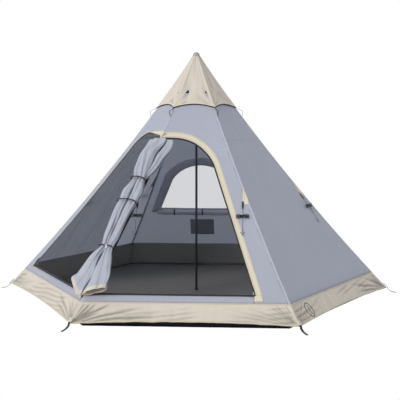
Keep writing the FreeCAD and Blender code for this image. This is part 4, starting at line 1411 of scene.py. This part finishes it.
def gathered(name, stations, lobes, depth, seed, pointed):
    """A sheet gathered into a strand: its cross-section runs in and out in folds around the strand."""
    sides = lobes * 22
    rows = 150
    high, low = stations[0][0], stations[-1][0]
    thickness = 0.0018
    layers, shades = [], []
    for layer in (0, 1):
        for row in range(rows + 1):
            height = high + (low - high) * row / rows
            sideways, radius = catmull(stations, height)
            here, level, normal, downhill = ridge_frame(DOOR_RIDGE, height)
            flat = strand_depth(height)
            centre = here + level * sideways + normal * (radius * flat + 0.008 - abs(sideways) * 0.22)
            tied = sum(math.exp(-((height - tie) / 0.035) ** 2) for tie in TIE_HEIGHTS)
            drift = 0.7 * wrinkle(height, seed, 2.2, 1.0) + 0.3 * wrinkle(height, seed, 7.0, 5.0)
            for index in range(sides):
                turn = 2 * math.pi * index / sides * 0.985 + 0.05
                bend = 0.9 * math.sin(turn + seed) + 0.5 * math.sin(2 * turn + seed * 1.7)
                wave = abs(math.cos(lobes * turn / 2 + drift * 1.5 + bend)) ** 0.6
                fine = abs(math.cos(lobes * 1.5 * turn + drift * 3.0 + bend * 2)) ** 0.7
                rough = wrinkle(height * 0.6 + math.cos(turn) * 0.3, math.sin(turn) * 0.6, 3.5, seed + 7)
                fold = max(depth * (0.9 + 0.9 * rough), 0.18)
                crumple = wrinkle(height + 0.25 * math.cos(turn), math.sin(turn) * 0.25, 10.0, seed + 9)
                pinch = (0.05 * max(0.5 + rough, 0.0) + 0.12 * tied) * (1 - fine)
                reach = radius * (1 - fold * (1 - wave) - pinch)
                reach *= 1 + 0.15 * wrinkle(height, math.cos(turn) * 0.4 + seed, 6.0, seed + 2)
                reach += 0.004 * wrinkle(height * 3 + math.cos(turn), math.sin(turn), 3.0, seed + 4)
                reach += 0.11 * radius * crumple
                reach = max(reach - layer * thickness, 0.002)
                point = (centre + level * math.cos(turn) * reach + normal * math.sin(turn) * reach * flat)
                if pointed:
                    share = min(max((0.52 - height) / (0.52 - low), 0.0), 1.0)
                    side = (point - here).dot(level)
                    point = point + downhill * ((low - bottom_edge(side)) * share * 1.12)
                layers.append(point)
                # Painted shade: the bottoms of folds, the pinches at the ties and the crumples are drawn
                # darker.
                shades.append(min(0.75 * fold * (1 - wave) + 1.3 * pinch + 0.45 * max(-crumple, 0.0), 0.65))
    trim_from = rows - round(rows * TRIM / (high - low)) if pointed else rows + 1
    faces, slots = strand_faces(sides, rows, trim_from)
    uvs = []
    for layer in (0, 1):
        for row in range(rows + 1):
            for index in range(sides):
                uvs.append((index / sides * 1.1, row / rows * (high - low) * 1.1))
    return make_mesh(name, layers, faces, ["door", "cream"] if pointed else ["door"], uvs, slots, shades)


def make_gathered_doors():
    """Both door cloths gathered on their shared ridge, as two strands and a swag at the top.

    Real doors that fill these doorways would have between two and three and a half times as much cloth
    as the strands as modelled.
    """
    left = gathered("left_door_cloth", LEFT_STRAND, 3, 0.36, 11.0, True)
    place_piece(left, SHELL, "wall_cloth", "left_door_roll")
    right = gathered("front_door_cloth", RIGHT_STRAND, 3, 0.36, 23.0, True)
    place_piece(right, SHELL, "wall_cloth", "front_door_roll")
    swag = gathered("front_door_swag", TOP_SWAG, 2, 0.30, 31.0, False)
    place_piece(swag, SHELL, "wall_cloth", "front_door_roll")


def make_door_ties():
    """Tie bands round the gathered doors, each with a toggle and loop at its end."""
    for number, height in enumerate(TIE_HEIGHTS):
        left_side, left_radius = catmull(LEFT_STRAND, height)
        right_side, right_radius = catmull(RIGHT_STRAND, height)
        here, level, normal, downhill = ridge_frame(DOOR_RIDGE, height)
        half = (right_side + right_radius - left_side + left_radius) / 2 + 0.002
        middle = (right_side + right_radius + left_side - left_radius) / 2
        deep = max(left_radius, right_radius) * 0.93 + 0.002
        centre = here + level * middle + normal * (max(left_radius, right_radius) + 0.010)
        loop = []
        for step in range(41):
            turn = 2 * math.pi * step / 40
            wave = 0.0012 * math.sin(turn * 5)
            across = math.copysign(abs(math.cos(turn)) ** 0.75, math.cos(turn))
            out = math.copysign(abs(math.sin(turn)) ** 0.75, math.sin(turn))
            loop.append(centre + level * across * (half + wave) + normal * out * deep
                        + downhill * 0.003 * math.sin(turn))
        tie = ribbon("door_tie_%d" % number, loop, downhill, 0.011, 0.0016, "webbing")
        place_piece(tie, SHELL, "webbing", "door_ties")
        start = centre + level * (half * 0.35) + normal * (deep + 0.004)
        pale = number == 2
        tail = [start, start + downhill * 0.018 + level * 0.012 + normal * 0.004,
                start + downhill * 0.036 + level * 0.016 + normal * 0.001]
        end = ribbon("door_tie_end_%d" % number, smooth_path(tail, 5), level, 0.009, 0.0016,
                     "white_cord" if pale else "webbing")
        place_piece(end, SHELL, "webbing")
        bar = [start + level * (0.016 * (step / 6 - 1)) + downhill * 0.002 for step in range(13)]
        sizes = [0.0036 * (1 - 0.45 * abs(step / 6 - 1) ** 5) for step in range(13)]
        toggle = round_tube("door_toggle_%d" % number, bar, sizes, "grey_plastic" if pale else "plastic", 12)
        place_piece(toggle, SHELL, "hard_plastic")


make_gathered_doors()
make_door_ties()


# ---------------------------------------------------------------- ridge fittings

def make_cap_fastenings():
    """Webbing straps from the cap's corners, their hooks, and the rings on the walls."""
    for ridge in RIDGES:
        outward, level = directions(ridge)

        def at(out, height, along=0.0):
            return outward * out + level * along + Vector((0, 0, height))
        low = ridge_out(1.700)
        path = smooth_path([at(ridge_out(1.772) + 0.006, 1.7735), at(ridge_out(1.760) + 0.0125, 1.757),
                            at(low + 0.0165, 1.735), at(low + 0.0165, 1.712)])
        made = ribbon("cap_strap_%d" % ridge, path, level, 0.008, 0.0026, "webbing")
        place_piece(made, "cap", "webbing", "cap_straps")
        hook = []
        for step in range(25):
            bend = math.pi * 1.45 * step / 24 - 0.3
            hook.append(at(low + 0.0145 + 0.0035 * math.sin(bend * 2) * 0.3,
                           1.7062 + 0.0052 * math.cos(bend + 0.3), 0.0062 * math.sin(bend + 0.3)))
        clip = round_tube("cap_hook_%d" % ridge, hook, 0.0017, "plastic", 8)
        place_piece(clip, "cap", "hard_plastic", "cap_hooks")
        block = ribbon("cap_hook_head_%d" % ridge, [at(low + 0.0158, 1.7085), at(low + 0.0160, 1.7132)],
                       level, 0.013, 0.006, "plastic")
        place_piece(block, "cap", "hard_plastic")
        ring = []
        middle = ridge_out(1.688) + 0.0068
        for step in range(25):
            bend = 2 * math.pi * step / 24
            ring.append(at(middle + 0.0035 * math.cos(bend), 1.690 + 0.0052 * math.cos(bend),
                           0.0055 * math.sin(bend)))
        loop = round_tube("cap_ring_%d" % ridge, ring, 0.0013, "plastic", 8)
        place_piece(loop, SHELL, "hard_plastic", "cap_rings")


def make_guy_points():
    """Cream reinforcement fins beside the ridges, and the webbing tabs that hold the guy lines."""
    for ridge, face, sign in GUY_SIDES:
        tip_side = ridge_out(PATCH_TIP) / 2 - 0.001
        base_side = ridge_out(PATCH_BASE) / 2 - 0.001
        corners = [(sign * base_side, PATCH_BASE), (sign * tip_side, PATCH_TIP),
                   (sign * (base_side - PATCH_FIN), PATCH_BASE)]
        if area_of(corners, (0, 1, 2)) < 0:
            corners.reverse()
        made = sheet_mesh("guy_patch_%d" % ridge, [corners], 0.009, against(face, 0.0024),
                          ["binding"], 0.0018,
                          uv=lambda x, y, s=sign, b=base_side: (((b - s * x) / PATCH_FIN), y))
        place_piece(made, SHELL, "cream_cloth", "guy_patches")
        side = guy_side(sign)
        path = [on_wall(face, side, PATCH_BASE + 0.022 - 0.004 * step, 0.0036) for step in range(7)]
        path += [on_wall(face, side, PATCH_BASE - drop, lift)
                 for drop, lift in ((0.010, 0.0046), (0.022, 0.0056), (0.033, 0.0052))]
        level = on_wall(face, side + 0.01, PATCH_BASE) - on_wall(face, side, PATCH_BASE)
        sides = [1.0] * 7 + [0.95, 0.85, 0.6]
        tab = ribbon("guy_tab_%d" % ridge, path, level, 0.0165, 0.0022, "webbing", sides=sides)
        place_piece(tab, SHELL, "webbing", "guy_tabs")
        eye = [on_wall(face, side + 0.0042 * math.cos(bend),
                       PATCH_BASE - 0.0335 + 0.0036 * math.sin(bend), 0.0052)
               for bend in turns(20, closed=True)]
        knot = round_tube("guy_hitch_%d" % ridge, eye, 0.0016, "cord", 8)
        place_piece(knot, SHELL, "cord")


def make_peg_straps():
    """Webbing loops from the hem's corners down to the ground, for the pegs."""
    for ridge in RIDGES:
        outward, level = directions(ridge)
        hem = ridge_out(HEM_CORNER)
        lean = 0.010 * math.sin(ridge * 1.7)
        stations = ((-0.026, 0.088, 0), (0.004, 0.060, 0.1), (0.016, 0.034, 0.3),
                    (0.046, 0.0150, 0.6), (0.094, 0.0035, 1.0))
        path = smooth_path([outward * (hem + out) + level * lean * along + Vector((0, 0, height))
                            for out, height, along in stations])
        made = ribbon("peg_strap_%d" % ridge, path, level, 0.0225, 0.0026, "webbing")
        place_piece(made, SHELL, "webbing", "peg_straps")
        sewn = [outward * (hem + out) + Vector((0, 0, height))
                for out, height in ((-0.0278, 0.094), (-0.010, 0.0765), (0.0035, 0.0638))]
        box = ribbon("peg_strap_patch_%d" % ridge, smooth_path(sewn, 4), level, 0.034, 0.0016, "binding")
        place_piece(box, SHELL, "cream_cloth")


def make_cable_ring():
    """Sewn ring round the cable hole, with a dark flap behind it."""
    middle, low, high = box_of("cable_port")
    height = middle.z
    face = FACES["front_right"]
    side = middle.dot(directions(face)[1])
    radius = (high.z - low.z) / 2 * 1.06

    def circle(size):
        return [(side + size * math.cos(a), height + size * math.sin(a))
                for a in turns(48)]

    def place(x, z, depth):
        return on_wall(face, x, z, skirt_folds(face, x, z) + 0.0018 - depth)
    made = sheet_mesh("cable_ring", [circle(radius), circle(radius - 0.0048)], 0.008, place,
                      ["webbing"], 0.0016)
    place_piece(made, SHELL, "webbing", "cable_port")
    slit = [(side - 0.0022, height - radius * 0.6), (side + 0.0022, height - radius * 0.6),
            (side + 0.0022, height + radius * 0.6), (side - 0.0022, height + radius * 0.6)]
    made = sheet_mesh("cable_slit", [slit], 0.006, place, ["webbing"], 0.0012)
    place_piece(made, SHELL, "webbing")


make_cap_fastenings()
make_guy_points()
make_peg_straps()
make_cable_ring()


# ---------------------------------------------------------------- zip sliders

def make_pulls():
    """Cord pulls with pale grips on the four sliders."""
    for name, face in (("front_sill_slider", "front"), ("front_side_slider", "front"),
                       ("left_sill_slider", "front_left"), ("left_side_slider", "front_left")):
        centre = box_of(name)[0]
        outward, level = directions(FACES[face])
        outward = (outward + Vector((0, 0, 0.35))).normalized()
        start = centre + outward * 0.003 - Vector((0, 0, 0.002))
        down = Vector((0, 0, -1))
        path = smooth_path([start, start + down * 0.008 + outward * 0.002,
                            start + down * 0.018 + outward * 0.001])
        string = round_tube(name + "_string", path, 0.0011, "cord", 8)
        place_piece(string, name, "cord")
        foot = path[-1]
        grip_path = [foot + down * 0.0035 * step + level * 0.0006 * step for step in range(8)]
        sizes = [0.0024, 0.0036, 0.004, 0.0041, 0.0041, 0.004, 0.0036, 0.0022]
        grip = round_tube(name + "_grip", grip_path, sizes, "white_cord", 12)
        place_piece(grip, name, "hard_plastic")


make_pulls()


# ---------------------------------------------------------------- finishes of the CAD nodes that stay

CAD_FINISHES = {
    "pole_section_1": "pole", "pole_section_2": "pole", "pole_section_3": "pole", "pole_section_4": "pole",
    "pole_foot": "rubber", "apex_cup": "rubber", "foot_patch": "tub", "vent_mesh": "vent",
    "front_sill_slider": "plastic", "front_side_slider": "plastic",
    "left_sill_slider": "plastic", "left_side_slider": "plastic",
}
for node, finish in CAD_FINISHES.items():
    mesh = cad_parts[node].data
    mesh.materials.clear()
    mesh.materials.append(MATERIALS[finish])


# ---------------------------------------------------------------- light, floor and backdrop

AMBIENT = 0.72
KEY = 1.7


def add_sun(name, direction, strength, spread, colour):
    data = bpy.data.lights.new(name, "SUN")
    data.energy = strength
    data.angle = math.radians(spread)
    data.color = colour
    lamp = bpy.data.objects.new(name, data)
    lamp.rotation_euler = Vector(direction).to_track_quat("-Z", "Y").to_euler()
    scene.collection.objects.link(lamp)


def make_stage():
    """Soft white surroundings, one broad sun and a pale floor that the camera sees as white."""
    world = bpy.data.worlds.new("studio")
    world.use_nodes = True
    tree = world.node_tree
    backdrop = tree.nodes["Background"]
    backdrop.inputs["Color"].default_value = (1.0, 1.0, 1.0, 1.0)
    soft = tree.nodes.new("ShaderNodeBackground")
    soft.inputs["Color"].default_value = (0.95, 0.97, 1.0, 1.0)
    soft.inputs["Strength"].default_value = AMBIENT
    seen = tree.nodes.new("ShaderNodeLightPath")
    pick = tree.nodes.new("ShaderNodeMixShader")
    tree.links.new(seen.outputs["Is Camera Ray"], pick.inputs["Fac"])
    tree.links.new(soft.outputs[0], pick.inputs[1])
    tree.links.new(backdrop.outputs[0], pick.inputs[2])
    tree.links.new(pick.outputs[0], tree.nodes["World Output"].inputs["Surface"])
    scene.world = world
    add_sun("key", (0.60, 0.62, -0.50), KEY, 25, (1.0, 0.985, 0.965))
    mesh = bpy.data.meshes.new("floor")
    reach = 60.0
    mesh.from_pydata([(-reach, -reach, 0), (reach, -reach, 0), (reach, reach, 0), (-reach, reach, 0)], [],
                     [(0, 1, 2, 3)])
    floor = bpy.data.objects.new("floor", mesh)
    scene.collection.objects.link(floor)
    made = Nodes("floor_pale")
    made.shader.inputs["Base Color"].default_value = (0.72, 0.72, 0.72, 1.0)
    bright = made.add("ShaderNodeEmission")
    bright.inputs["Strength"].default_value = 1.0
    seen = made.add("ShaderNodeLightPath")
    pick = made.add("ShaderNodeMixShader")
    made.link(seen.outputs["Is Camera Ray"], pick.inputs["Fac"])
    made.link(made.shader.outputs[0], pick.inputs[1])
    made.link(bright.outputs[0], pick.inputs[2])
    made.link(pick.outputs[0], made.output.inputs["Surface"])
    mesh.materials.append(made.material)
    scene.view_settings.view_transform = "Standard"


make_stage()
bpy.context.view_layer.update()
